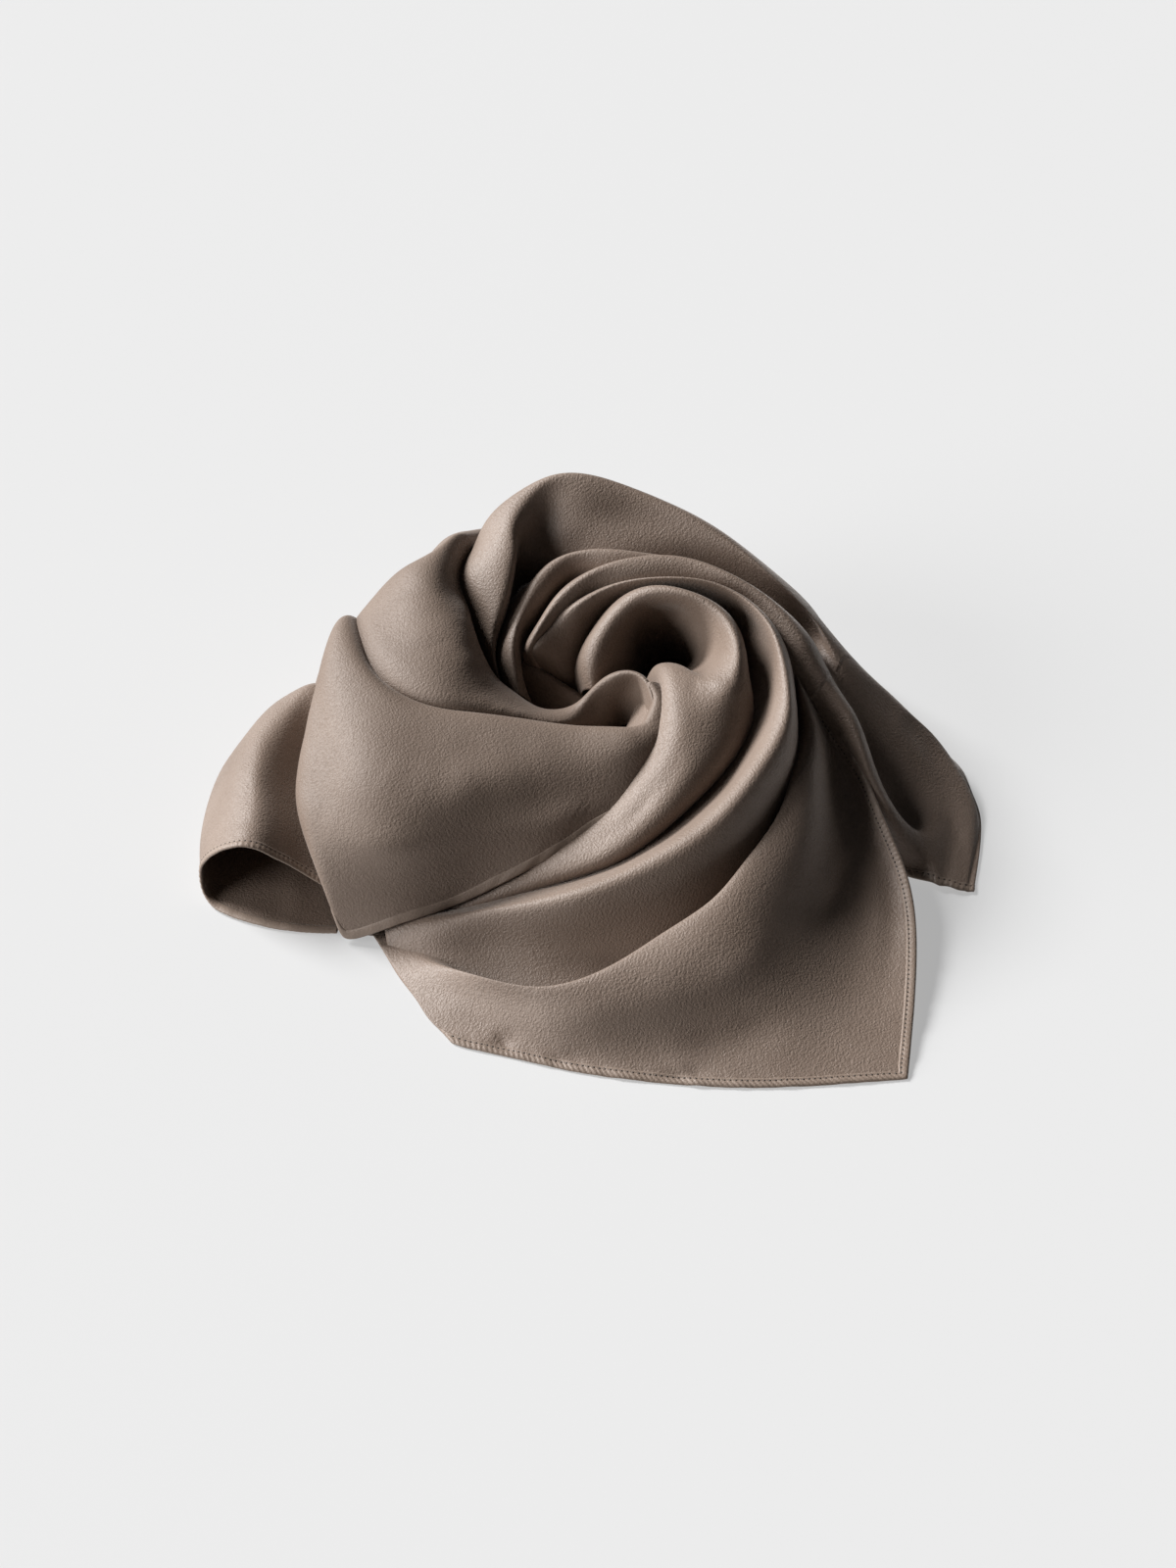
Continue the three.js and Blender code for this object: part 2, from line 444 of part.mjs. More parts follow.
// The hidden heap: at each point of a fan of spokes it reaches to just below the lowest layer.
function coreSolid(grids) {
  const cloth = grids.flatMap((points) => points.flat());
  const roof = (x, y) => {
    const over = cloth.filter((p) => Math.hypot(p.x - x, p.y - y) < CORE_REACH).map((p) => p.z);
    return over.length ? Math.min(CORE_TOP, Math.min(...over) - WALL - CORE_CLEARANCE) : CORE_FLOOR;
  };
  const spokes = Array.from({ length: CORE_SPOKES }, (_, i) => {
    const angle = (i / CORE_SPOKES) * 2 * Math.PI;
    const toward = new THREE.Vector3(Math.cos(angle), Math.sin(angle), 0);
    let reach = 20;
    while (reach < CORE_FARTHEST && roof(toward.x * reach, toward.y * reach) > CORE_EDGE) reach += 2;
    return { toward, reach };
  });
  const rim = spokes.map(({ reach }, i) => {
    const near = [-1, 0, 1].map((k) => spokes[(i + k + CORE_SPOKES) % CORE_SPOKES].reach);
    return Math.min(...near);
  });
  const vertices = [new THREE.Vector3(0, 0, roof(0, 0))];
  spokes.forEach(({ toward }, i) => {
    for (let k = 1; k <= CORE_RINGS; k++) {
      const p = toward.clone().multiplyScalar((rim[i] * k) / CORE_RINGS);
      const edge = k === CORE_RINGS ? CORE_EDGE : roof(p.x, p.y);
      vertices.push(p.setZ(Math.max(edge, CORE_EDGE)));
    }
    vertices.push(toward.clone().multiplyScalar(rim[i]));
  });
  vertices.push(new THREE.Vector3(0, 0, 0));
  const line = CORE_RINGS + 1;
  const at = (i, k) => (k === 0 ? 0 : 1 + (i % CORE_SPOKES) * line + k - 1);
  const middle = vertices.length - 1;
  const index = [];
  for (let i = 0; i < CORE_SPOKES; i++) {
    index.push(0, at(i, 1), at(i + 1, 1));
    for (let k = 1; k < line; k++) {
      index.push(at(i, k), at(i, k + 1), at(i + 1, k + 1), at(i, k), at(i + 1, k + 1), at(i + 1, k));
    }
    index.push(middle, at(i + 1, line), at(i, line));
  }
  return closed(vertices, index);
}

function mesh(name, solid, look) {
  const { vertProperties, triVerts } = solid.getMesh();
  const geometry = new THREE.BufferGeometry();
  geometry.setAttribute("position", new THREE.BufferAttribute(vertProperties, 3));
  geometry.setIndex(new THREE.BufferAttribute(triVerts, 1));
  geometry.computeVertexNormals();
  const made = new THREE.Mesh(geometry, new THREE.MeshStandardMaterial(look));
  made.name = name;
  return made;
}

// Each layer is cut back where it would meet a layer listed before it, which happens only at
// the buried feet of the folds.
const scarf = new THREE.Group();
const grids = Object.values(LAYERS).map(grid);
let taken = null;
Object.keys(LAYERS).forEach((name, i) => {
  const layer = wall(grids[i]);
  const solid = taken ? largestBody(layer.subtract(taken)) : layer;
  scarf.add(mesh(name, solid, CLOTH));
  const grown = wall(grids[i], GAP).add(solid);
  taken = taken ? taken.add(grown) : grown;
});
const fine = Object.values(LAYERS).map((layer) =>
  grid({ ...layer, stations: layer.stations * 3, across: layer.across * 3, breaks: {} }),
);
scarf.add(mesh("core", largestBody(coreSolid(fine).subtract(taken)), BURIED));

export default scarf;
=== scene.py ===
# %% [markdown]
# # A silk square, twisted and dropped
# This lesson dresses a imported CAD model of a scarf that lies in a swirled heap. The CAD model
# knows where every fold is, but its walls are thick and faceted. Here each stretch of cloth becomes
# a thin, smooth shell with creases, a rolled hem with stitches, and a satin finish.

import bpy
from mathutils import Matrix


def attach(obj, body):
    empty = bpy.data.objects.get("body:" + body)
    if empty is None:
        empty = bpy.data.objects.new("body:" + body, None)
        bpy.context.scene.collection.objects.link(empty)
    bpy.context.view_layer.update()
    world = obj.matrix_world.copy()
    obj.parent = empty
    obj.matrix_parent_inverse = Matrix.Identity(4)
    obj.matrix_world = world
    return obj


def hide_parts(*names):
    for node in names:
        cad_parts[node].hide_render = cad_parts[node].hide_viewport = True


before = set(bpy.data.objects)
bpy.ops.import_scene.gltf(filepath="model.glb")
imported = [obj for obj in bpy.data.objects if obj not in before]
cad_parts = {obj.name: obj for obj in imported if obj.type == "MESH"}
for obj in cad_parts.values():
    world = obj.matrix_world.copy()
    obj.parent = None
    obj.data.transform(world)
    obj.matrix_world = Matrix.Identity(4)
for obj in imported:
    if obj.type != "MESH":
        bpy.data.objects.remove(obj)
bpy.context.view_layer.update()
print("CAD nodes:", ", ".join(sorted(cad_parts)))

# %% Tools for the lesson
import math

import bmesh
import bpy
import numpy as np
from mathutils import Vector

MM = 0.001
scene = bpy.context.scene
print("numpy", np.__version__)

# %% [markdown]
# ## The camera
# The heap is seen from in front, well above the table, with a long lens, so the folds hardly
# shrink with distance. The camera is aimed with a direction vector instead of by hand: to_track_quat
# turns its -Z axis to the target and keeps its Y axis up.

# %% Place the camera
AIM = Vector((-9, -24, 30)) * MM
DISTANCE = 1.7
ABOVE_TABLE = math.radians(42)


def show(name, data):
    """Put a camera, a mesh or a lamp in the scene as an object of the same name."""
    made = bpy.data.objects.new(name, data)
    scene.collection.objects.link(made)
    return made


camera_data = bpy.data.cameras.new("camera")
camera_data.lens = 85
camera_data.sensor_width = 36
camera = show("camera", camera_data)
looking = Vector((0, math.cos(ABOVE_TABLE), -math.sin(ABOVE_TABLE)))
camera.location = AIM - looking * DISTANCE
camera.rotation_euler = looking.to_track_quat("-Z", "Y").to_euler()
scene.camera = camera
print("camera at", [round(v, 3) for v in camera.location])

# %% [markdown]
# ## The folds as tables
# A fold could be sculpted or simulated, but then nobody could say afterwards where it lies. These
# folds are drawn as a tailor would chalk them: each row of a table is a section across a fold, and
# each column, named above its table, is a line that runs along it. The numbers are x y z in
# millimetres, the same ones that the CAD model is made from.

# %% Read a table
def table(text):
    lines = [line.split("|") for line in text.strip().splitlines()]
    print(len(lines), "rows of", len(lines[0]), "points")
    return np.array([[[float(v) for v in cell.split()] for cell in line] for line in lines]) * MM


# %% The corner that is spread to the front
# foot, flank, crest, shoulder, slope, nearHem, hem
FRONT_CORNER = table("""
  85   29  44 |   85   20  56 |   87   15  62 |   89   12  60 |   92   13  54 |   95   13  49 |   97   13  46
  89    6  30 |   87   -4  46 |   90  -12  55 |   95  -13  55 |   99   -8  46 |  102   -1  41 |  104    1  43
  88  -24  22 |   84  -33  42 |   85  -39  54 |   93  -42  52 |  101  -35  38 |  109  -25  31 |  117  -23  36
  83  -52  20 |   79  -60  38 |   76  -66  49 |   86  -73  45 |   99  -71  31 |  115  -59  23 |  127  -52  28
  69  -85  16 |   65  -87  32 |   61  -90  44 |   71 -100  40 |   89 -101  26 |  114  -89  15 |  137  -91  15
  52 -110  14 |   48 -111  29 |   44 -112  39 |   53 -126  35 |   72 -141  20 |   98 -158   7 |  129 -182   1
  29 -123  12 |   26 -126  26 |   23 -127  34 |   30 -142  31 |   43 -157  17 |   58 -174   5 |   71 -187   1
   4 -138  11 |    1 -141  22 |    0 -143  30 |    4 -153  26 |   11 -163  15 |   20 -175   5 |   28 -185   1
 -26 -144   8 |  -29 -147  17 |  -29 -149  24 |  -27 -154  20 |  -23 -162  12 |  -18 -170   4 |  -13 -178   1
 -56 -132   5 |  -58 -134  12 |  -56 -137  18 |  -53 -142  14 |  -50 -150   8 |  -46 -160 3.5 |  -43 -169   1
 -88  -98 2.5 |  -84 -111   5 |  -78 -123   8 |  -74 -134   6 |  -70 -144 4.5 |  -66 -153 2.5 |  -63 -163   1
-107  -91   1 | -100 -106 1.5 |  -93 -121 1.5 |  -86 -133 1.5 |  -80 -145 1.5 |  -74 -153   1 |  -69 -160   1
""")

# %% The high fold at the back
# footIn, lowIn, highIn, crest, highOut, midOut, footOut
HOOD = table("""
-47   36  34 |  -48   31  40 |  -49   25  47 |  -50   25  49 |  -51   27  48 |  -53   32  44 |  -54   40  36
-53   51  42 |  -53   44  52 |  -52   38  60 |  -54   38  63 |  -57   40  60 |  -60   45  54 |  -63   55  44
-48   64  48 |  -49   57  60 |  -47   51  71 |  -49   49  76 |  -55   49  74 |  -63   54  66 |  -69   63  54
-42   83  58 |  -44   79  72 |  -42   73  85 |  -44   72  90 |  -53   70  88 |  -67   71  78 |  -69   81  62
-34   83  64 |  -39   88  79 |  -40   87  90 |  -44   88  95 |  -52   89  92 |  -63   88  80 |  -66   99  62
-28   83  70 |  -32   93  82 |  -34   98  93 |  -38  101  99 |  -50  102  94 |  -60   97  78 |  -62  104  50
-21   84  74 |  -23   94  86 |  -25  104  97 |  -26  110 104 |  -32  115  97 |  -39  116  66 |  -42  120  24
-11   85  78 |  -11   93  88 |  -11  102  98 |  -10  111 104 |  -10  117  98 |  -12  130  60 |  -14  141   2
  9   83  80 |    9   91  88 |   10  101  96 |   10  107 100 |   12  113  94 |   14  121  56 |   16  131   1
 37   82  78 |   37   86  85 |   37   91  91 |   37   96  94 |   42  102  87 |   48  117  54 |   56  134   1
 61   75  70 |   61   77  77 |   61   79  84 |   60   83  86 |   65   88  79 |   72   94  46 |   79  107   1
 85   61  58 |   84   63  66 |   83   64  73 |   82   66  75 |   88   71  68 |  101   84  40 |  114  100   1
100   51  48 |  100   52  56 |   99   52  61 |   99   54  62 |  104   58  55 |  113   60  30 |  122   70   1
""")

# %% The second fold from the back
# footIn, flankIn, crest, flankOut, footOut
OUTER_RIDGE = table("""
-22   40  30 |  -29   35  42 |  -36   36  50 |  -39   40  49 |  -40   47  38
-24   43  42 |  -31   36  57 |  -36   33  64 |  -39   38  60 |  -39   49  46
-25   45  54 |  -26   42  66 |  -30   41  73 |  -33   45  68 |  -34   56  54
-15   56  60 |  -17   50  74 |  -22   51  80 |  -26   55  74 |  -27   66  60
 -3   59  68 |   -6   57  80 |  -10   59  86 |  -15   64  80 |  -17   77  64
 10   60  74 |    9   58  86 |    7   64  91 |    5   68  86 |    4   81  70
 33   60  74 |   34   58  86 |   34   65  92 |   34   70  86 |   35   83  70
 52   53  70 |   54   52  82 |   56   55  90 |   58   61  84 |   60   76  66
 67   41  64 |   70   41  77 |   74   44  84 |   78   49  78 |   80   64  58
 77   24  54 |   83   23  66 |   90   26  74 |   95   34  68 |   97   49  50
""")

# %% The right corner, where those two run out over the table
# footIn, flankIn, crest, flankOut, valley
RIGHT_RIDGE = table("""
 89   17  40 |   95    9  54 |  100   12  61 |  104   19  57 |  105   27  49
 99    8  26 |  107   -5  42 |  112   -4  51 |  116    3  45 |  117   10  29
111   -9  14 |  116  -22  29 |  120  -25  38 |  124  -18  32 |  126  -12  18
122  -30   6 |  127  -39  18 |  130  -41  26 |  134  -35  21 |  137  -29  11
129  -47   3 |  135  -49   9 |  139  -48  14 |  144  -42  13 |  148  -35  11
134  -53   2 |  140  -53   5 |  146  -52   8 |  150  -49   8 |  154  -44   7
137  -55 1.5 |  142  -58 2.5 |  148  -61 3.5 |  151  -63 3.5 |  154  -63   3
""")
# low, middle, high, edge, fall, footOut
RIGHT_SLOPE = table("""
107   33  49 |  109   36  51 |  112   41  51 |  118   44  45 |  125   50  28 |  133   59   1
121   17  32 |  124   27  38 |  127   35  39 |  133   38  32 |  141   40  18 |  148   48   1
131    0  20 |  136   15  26 |  141   28  28 |  147   29  22 |  154   27  12 |  159   33   1
143  -13  13 |  148    4  17 |  155   20  17 |  160   19  12 |  164   13   7 |  168   18   1
153  -23  10 |  158  -11  10 |  166   -1   9 |  170   -2   6 |  169   -2 3.5 |  172    0   1
158  -39   6 |  162  -33   6 |  169  -25   5 |  172  -23   3 |  173  -20   2 |  174  -19   1
157  -64   3 |  160  -65 2.5 |  163  -65   2 |  164  -65 1.5 |  166  -65 1.5 |  167  -65   1
""")

# %% The narrow fold between them, on the left of the swirl
# footIn, flankIn, crest, flankOut, footOut
BACK_RIDGE = table("""
-34   24  34 |  -36   18  44 |  -41   16  50 |  -46   23  46 |  -48   36  34
-40   35  42 |  -40   28  54 |  -44   27  60 |  -50   34  55 |  -52   48  41
-39   46  52 |  -40   42  62 |  -43   39  68 |  -49   45  62 |  -51   60  47
-32   55  58 |  -34   53  70 |  -37   55  76 |  -44   61  69 |  -46   81  54
-25   67  64 |  -26   63  76 |  -31   65  81 |  -35   70  75 |  -37   86  58
-14   72  70 |  -15   72  80 |  -20   74  85 |  -26   78  79 |  -28   90  64
 -1   75  74 |   -2   70  82 |   -4   75  88 |   -9   81  82 |  -11   91  68
 14   74  76 |   14   69  82 |   13   73  88 |   11   80  82 |   11   91  68
 33   73  74 |   32   69  80 |   32   73  85 |   33   78  80 |   33   88  68
""")

# %% The long fold that goes round the eye and comes to the front
# footIn, flankIn, crest, flankOut, footOut
MIDDLE_RIDGE = table("""
  -9   37  24 |  -18   33  38 |  -28   34  48 |  -34   36  51 |  -36   47  42
 -10   39  32 |  -17   34  48 |  -26   33  60 |  -34   33  64 |  -36   45  50
  -9   44  42 |  -15   39  58 |  -22   40  68 |  -28   43  68 |  -31   52  55
  -6   52  52 |   -9   47  68 |  -14   46  77 |  -19   50  74 |  -21   60  60
   8   63  60 |    6   55  77 |    3   54  84 |   -1   59  79 |   -3   69  64
  32   65  64 |   30   55  82 |   28   51  91 |   27   57  86 |   27   67  70
  53   57  62 |   55   48  80 |   53   46  90 |   55   52  84 |   58   63  66
  63   34  54 |   71   28  72 |   74   25  84 |   78   30  78 |   82   38  58
  64   12  48 |   73    2  66 |   78   -3  77 |   83   -4  77 |   87   13  54
  60   -4  44 |   68  -20  61 |   77  -28  72 |   84  -28  68 |   88   -9  38
  51  -22  40 |   58  -43  57 |   67  -55  66 |   77  -55  51 |   83  -47  16
  31  -46  34 |   39  -67  50 |   49  -80  58 |   60  -83  38 |   67  -84   8
   9  -64  28 |   16  -84  43 |   26  -96  49 |   35 -104  27 |   40 -113   5
 -13  -73  22 |   -7  -93  36 |    1 -105  41 |    8 -113  19 |   11 -127   3
 -40  -78  16 |  -35  -97  28 |  -28 -107  31 |  -24 -115  14 |  -21 -131 2.5
 -66  -82  10 |  -62  -96  19 |  -58 -103  21 |  -55 -110  10 |  -52 -126   2
 -85  -84   8 |  -83  -93  13 |  -80 -101  14 |  -79 -107   9 |  -79 -113 1.5
-103  -78   4 | -102  -85   8 | -101  -92   8 | -100  -97   5 |  -99 -101 1.5
""")

# %% The innermost fold, a funnel round the deep hollow
# floor, wall, rim, shoulderIn, shoulderOut, foot
FUNNEL_RIDGE = table("""
  4   46  20 |    1   30  36 |   -3   18  50 |   -8   16  53 |  -12   22  46 |  -13   30  32
 13   60  20 |    8   38  43 |    0   26  60 |   -8   24  64 |  -14   30  57 |  -15   41  40
 18   69  20 |   12   53  48 |    8   39  70 |    0   37  76 |   -7   43  67 |   -8   56  48
 23   74  20 |   18   57  56 |   18   44  81 |   16   47  87 |    9   54  79 |    7   70  58
 30   75  22 |   30   53  62 |   34   41  85 |   36   43  90 |   34   52  82 |   33   67  60
 36   69  26 |   42   41  64 |   50   29  83 |   55   30  86 |   59   35  77 |   58   47  56
 38   60  30 |   45   27  62 |   54    6  80 |   61    1  82 |   65    5  70 |   65   19  48
 34   52  32 |   39   21  60 |   45   -2  76 |   55  -15  77 |   66  -11  62 |   62   -4  42
 27   50  32 |   31   26  58 |   36    5  74 |   42  -21  74 |   55  -36  60 |   51  -25  38
 19   46  32 |   22   27  56 |   26    9  72 |   31  -28  72 |   38  -58  56 |   33  -46  33
 15   25  34 |   17   20  48 |   18    9  61 |   20  -37  62 |   17  -76  47 |   11  -65  26
  5   -9  32 |    5  -11  40 |    4  -19  47 |    2  -60  48 |   -5  -86  38 |  -12  -75  19
-13  -33  26 |  -15  -35  33 |  -17  -42  38 |  -22  -74  37 |  -30  -88  28 |  -37  -83  14
-40  -57  18 |  -43  -59  23 |  -45  -63  26 |  -50  -79  25 |  -57  -89  18 |  -64  -88   9
-67  -71  10 |  -68  -73  13 |  -70  -76  15 |  -73  -84  14 |  -78  -90  10 |  -82  -94   5
""")

# %% The small fold at the bottom of the pocket
# footOut, side, crest, flank, footIn
POCKET_FOLD = table("""
-44   34  36 |  -42   33  44 |  -40   39  51 |  -36   43  49 |  -32   47  42
-42   30  32 |  -38   30  40 |  -35   34  51 |  -31   37  48 |  -27   41  38
-36   21  30 |  -31   24  37 |  -28   29  48 |  -24   32  46 |  -21   36  36
-26   16  30 |  -22   20  35 |  -19   25  45 |  -16   28  43 |  -13   32  34
-16   13  28 |  -13   17  33 |  -11   21  41 |   -8   24  40 |   -6   28  32
 -8   10  26 |   -5   13  30 |   -3   17  36 |   -1   20  35 |    1   24  30
""")

# %% The upper left panel
# tuck, lip, upper, middle, lower, foot
UPPER_LEFT_PANEL = table("""
-20  134  44 |  -24  138  50 |  -30  142  50 |  -38  146  40 |  -44  149  24 |  -48  150   3
-40  118  52 |  -46  122  62 |  -54  124  63 |  -64  128  52 |  -72  130  32 |  -77  130   3
-52   98  52 |  -60  100  71 |  -68   98  80 |  -80   98  70 |  -90  104  40 |  -96  108   2
-57   92  50 |  -63   92  72 |  -72   88  85 |  -86   76  79 | -101   84  46 | -109   92   2
-64   78  50 |  -68   74  70 |  -78   61  86 |  -97   66  82 | -115   64  52 | -123   72   2
-66   63  50 |  -66   47  75 |  -77   35  85 |  -99   34  81 | -119   49  64 | -132   50   2
-61   44  48 |  -61   29  71 |  -69   12  80 |  -89    2  80 | -110    8  69 | -128   22  30
-53   27  42 |  -53   14  63 |  -60   -4  72 |  -73  -16  74 |  -87  -13  66 |  -99   -2  50
-43   20  38 |  -43    7  58 |  -47   -8  65 |  -54  -17  67 |  -63  -16  60 |  -68   -7  46
-29   15  34 |  -31    1  54 |  -33  -10  59 |  -37  -15  59 |  -40  -12  53 |  -43   -3  40
-15   19  32 |  -16    4  53 |  -16   -5  54 |  -14   -6  50 |  -14   -3  44 |  -14    3  34
 -6   28  34 |   -8    6  60 |   -6    3  56 |   -3    2  50 |   -1    2  44 |   -1    5  36
  3   32  40 |    1    8  68 |    3    5  64 |    5    6  56 |    6    7  47 |    6    8  38
 12   32  44 |   11    6  72 |   12    5  67 |   13    4  59 |   13    5  50 |   12    6  41
 20   22  46 |   18   -1  72 |   17   -2  67 |   17   -2  60 |   16   -1  52 |   15    1  43
 23    9  46 |   21  -12  69 |   20  -12  65 |   18  -11  58 |   16   -7  49 |   14   -4  41
""")

# %% The left front panel
# tuck, lip, upper, middle, dent, lower, hem
LEFT_FRONT_PANEL = table("""
 -86   96  22 |  -91  102  28 |  -98  104  29 | -106  104  25 | -112  103  17 | -116  101   9 | -118  100   2
 -97   76  32 | -105   80  41 | -114   81  42 | -125   78  35 | -132   74  24 | -136   70  12 | -138   68   2
-104   54  42 | -112   57  56 | -123   54  57 | -132   46  46 | -138   37  31 | -140   29  15 | -141   22   2
-111   44  52 | -119   47  70 | -127   40  70 | -134    4  56 | -138  -14  40 | -137  -34  22 | -132  -52   6
-110   26  54 | -116   21  76 | -125    8  75 | -132  -17  63 | -139  -48  48 | -134  -72  34 | -122  -90   8
-103    8  52 | -105   -2  75 | -106  -18  75 | -112  -49  67 | -118  -70  53 | -121  -85  32 | -116  -97 2.5
 -83   -9  50 |  -84  -17  72 |  -84  -32  72 |  -86  -57  66 |  -90  -80  52 |  -92  -89  32 |  -93  -97  12
 -59  -10  48 |  -60  -21  70 |  -59  -34  70 |  -58  -55  64 |  -58  -72  50 |  -61  -83  32 |  -68  -90  17
 -36  -12  46 |  -37  -22  67 |  -35  -34  68 |  -31  -50  62 |  -29  -65  50 |  -32  -76  39 |  -41  -84  29
 -13  -14  44 |  -14  -24  65 |  -12  -34  66 |   -8  -45  61 |   -6  -55  53 |   -9  -64  46 |  -15  -72  38
   4  -17  44 |    3  -26  66 |    9  -35  66 |   13  -41  61 |   11  -48  54 |    6  -56  49 |   -3  -65  44
  13  -15  45 |   14  -25  66 |   21  -27  66 |   25  -31  60 |   19  -40  53 |   12  -50  49 |    4  -58  45
  19   -7  46 |   19  -18  68 |   26  -17  68 |   29  -16  60 |   26  -22  52 |   17  -36  47 |    9  -46  43
  20    2  47 |   21  -10  70 |   26   -7  69 |   30   -4  59 |   28   -5  48 |   20  -20  42 |   12  -34  39
  16    9  47 |   18   -2  72 |   23    0  70 |   27    7  59 |   27   10  46 |   21    0  38 |   14  -15  34
""")

# %% The loop on the left, over the top and back along the table
# tuck, right, top, topLeft, shoulder
LOOP_TOP = table("""
-127  -77  15 | -138  -74  22 | -150  -75  32 | -160  -75  38 | -170  -73  36
-128  -57  18 | -139  -54  25 | -150  -57  35 | -160  -59  40 | -171  -55  35
-132  -27  22 | -143  -24  28 | -153  -25  37 | -162  -26  41 | -173  -21  33
-131    6  26 | -142    8  33 | -151    7  39 | -161    8  38 | -169   12  28
-131   32  38 | -139   35  39 | -146   37  35 | -153   40  27 | -158   43  17
-125   53  16 | -128   57  15 | -132   59  13 | -135   60  10 | -137   59   7
""")
# side, fold, turn, floorLeft, floor, floorTuck
LOOP_UNDER = table("""
-180  -69  26 | -185  -66  14 | -183  -71   4 | -171  -81   1 | -146  -90   1 | -122  -92   1
-182  -48  23 | -187  -43  10 | -182  -47   2 | -166  -59   1 | -143  -67   1 | -120  -72   1
-181  -14  20 | -185  -10   8 | -180  -14 1.5 | -166  -23   1 | -145  -31   1 | -122  -39   1
-175   17  15 | -177   19   5 | -170   13 1.5 | -157    8   1 | -142    1   1 | -124   -6   1
-161   43   7 | -160   41   2 | -154   36 1.5 | -145   32   1 | -135   28   1 | -123   22   1
-138   58   4 | -137   57   2 | -135   55 1.5 | -131   54   1 | -127   53   1 | -122   52   1
""")

# %% [markdown]
# ## From a table to a smooth surface
# A subdivision surface would smooth a coarse net, but it pulls away from the points it is given. A
# natural cubic spline passes through every point and bends like a thin strip of wood, so the
# shells keep to the CAD solids. One set of splines runs along the fold and a second one across it.

# %% Splines along and across a fold
def walked(points, axis=0):
    """Distance walked along lines of points, from the first point of each."""
    steps = np.linalg.norm(np.diff(points, axis=axis), axis=-1)
    return np.concatenate([0 * steps.take([0], axis), np.cumsum(steps, axis=axis)], axis=axis)


def knots_between(lines):
    apart = np.linalg.norm(np.diff(lines, axis=0), axis=-1).mean(axis=1) / MM
    return np.concatenate([[0], np.cumsum(apart**0.6)])


def spline_weights(knots, places):
    count, step = len(knots), np.diff(knots)
    bend, pull = np.eye(count), np.zeros((count, count))
    for i in range(1, count - 1):
        bend[i, i - 1 : i + 2] = step[i - 1], 2 * (step[i - 1] + step[i]), step[i]
        pull[i, i - 1 : i + 2] = 6 / step[i - 1], -6 / step[i - 1] - 6 / step[i], 6 / step[i]
    curve = np.linalg.solve(bend, pull)
    span = np.clip(np.searchsorted(knots, places, side="right") - 1, 0, count - 2)
    after = (places - knots[span]) / step[span]
    before = 1 - after
    weights = ((before**3 - before)[:, None] * curve[span]) * (step[span] ** 2)[:, None] / 6
    weights += ((after**3 - after)[:, None] * curve[span + 1]) * (step[span] ** 2)[:, None] / 6
    weights[np.arange(len(places)), span] += before
    weights[np.arange(len(places)), span + 1] += after
    return weights


# %% A stretch of cloth, with its size and its row and column numbers
class Cloth:
    """A fine grid of points, and for each line of it the row or column number of the table."""

    def __init__(self, rows, along, across, start=0, end=None, corner=None):
        down, over = knots_between(rows), knots_between(rows.swapaxes(0, 1))
        end = len(rows) - 1 if end is None else end
        places = np.linspace(down[start], down[end], along)
        if corner:
            places[np.abs(places - down[corner[1]]).argmin()] = down[corner[1]]
        columns = np.einsum("ij,jkx->ikx", spline_weights(down, places), rows)
        if corner:
            column, row = corner
            for part in (slice(0, row + 1), slice(row, None)):
                inside = (places >= down[part][0] - 1e-9) & (places <= down[part][-1] + 1e-9)
                weights = spline_weights(down[part], places[inside])
                columns[inside, column] = weights @ rows[part, column]
        cross = np.linspace(0, over[-1], across)
        self.points = np.einsum("vj,ijx->ivx", spline_weights(over, cross), columns)
        self.row = np.interp(places, down, np.arange(len(down)))
        self.column = np.interp(cross, over, np.arange(len(over)))

    def lengths(self):
        """Distances along the fold and across it, in metres, for the weave and the creases."""
        along = np.linalg.norm(np.diff(self.points, axis=0), axis=-1).mean(axis=1)
        v = walked(self.points, axis=1)
        u = np.concatenate([[0], np.cumsum(along)])[:, None] + 0 * v
        return np.stack([u, v - v.mean(axis=1, keepdims=True)], axis=-1)

    def normals(self):
        out = np.cross(np.gradient(self.points, axis=0), np.gradient(self.points, axis=1))
        return out / np.maximum(np.linalg.norm(out, axis=-1, keepdims=True), 1e-12)

    def place(self, row, column):
        """Grid position of a row and column number of the table."""
        i = np.interp(row, self.row, np.arange(len(self.row)))
        return i, np.interp(column, self.column, np.arange(len(self.column)))


def sample(grid, i, j):
    """Values of a grid between its points."""
    i0 = np.clip(np.floor(i).astype(int), 0, grid.shape[0] - 2)
    j0 = np.clip(np.floor(j).astype(int), 0, grid.shape[1] - 2)
    a, b = (i - i0)[..., None], (j - j0)[..., None]
    near = grid[i0, j0] * (1 - b) + grid[i0, j0 + 1] * b
    far = grid[i0 + 1, j0] * (1 - b) + grid[i0 + 1, j0 + 1] * b
    return near * (1 - a) + far * a


# %% [markdown]
# ## Every stretch of the scarf
# The rows that two stretches share lead the curves on from one to the other. The high fold, the
# outer ridge and the right corner are one cloth that widens, so they get the same places across.
# Once creased, their seams are pulled together point for point, and welded into one mesh later.

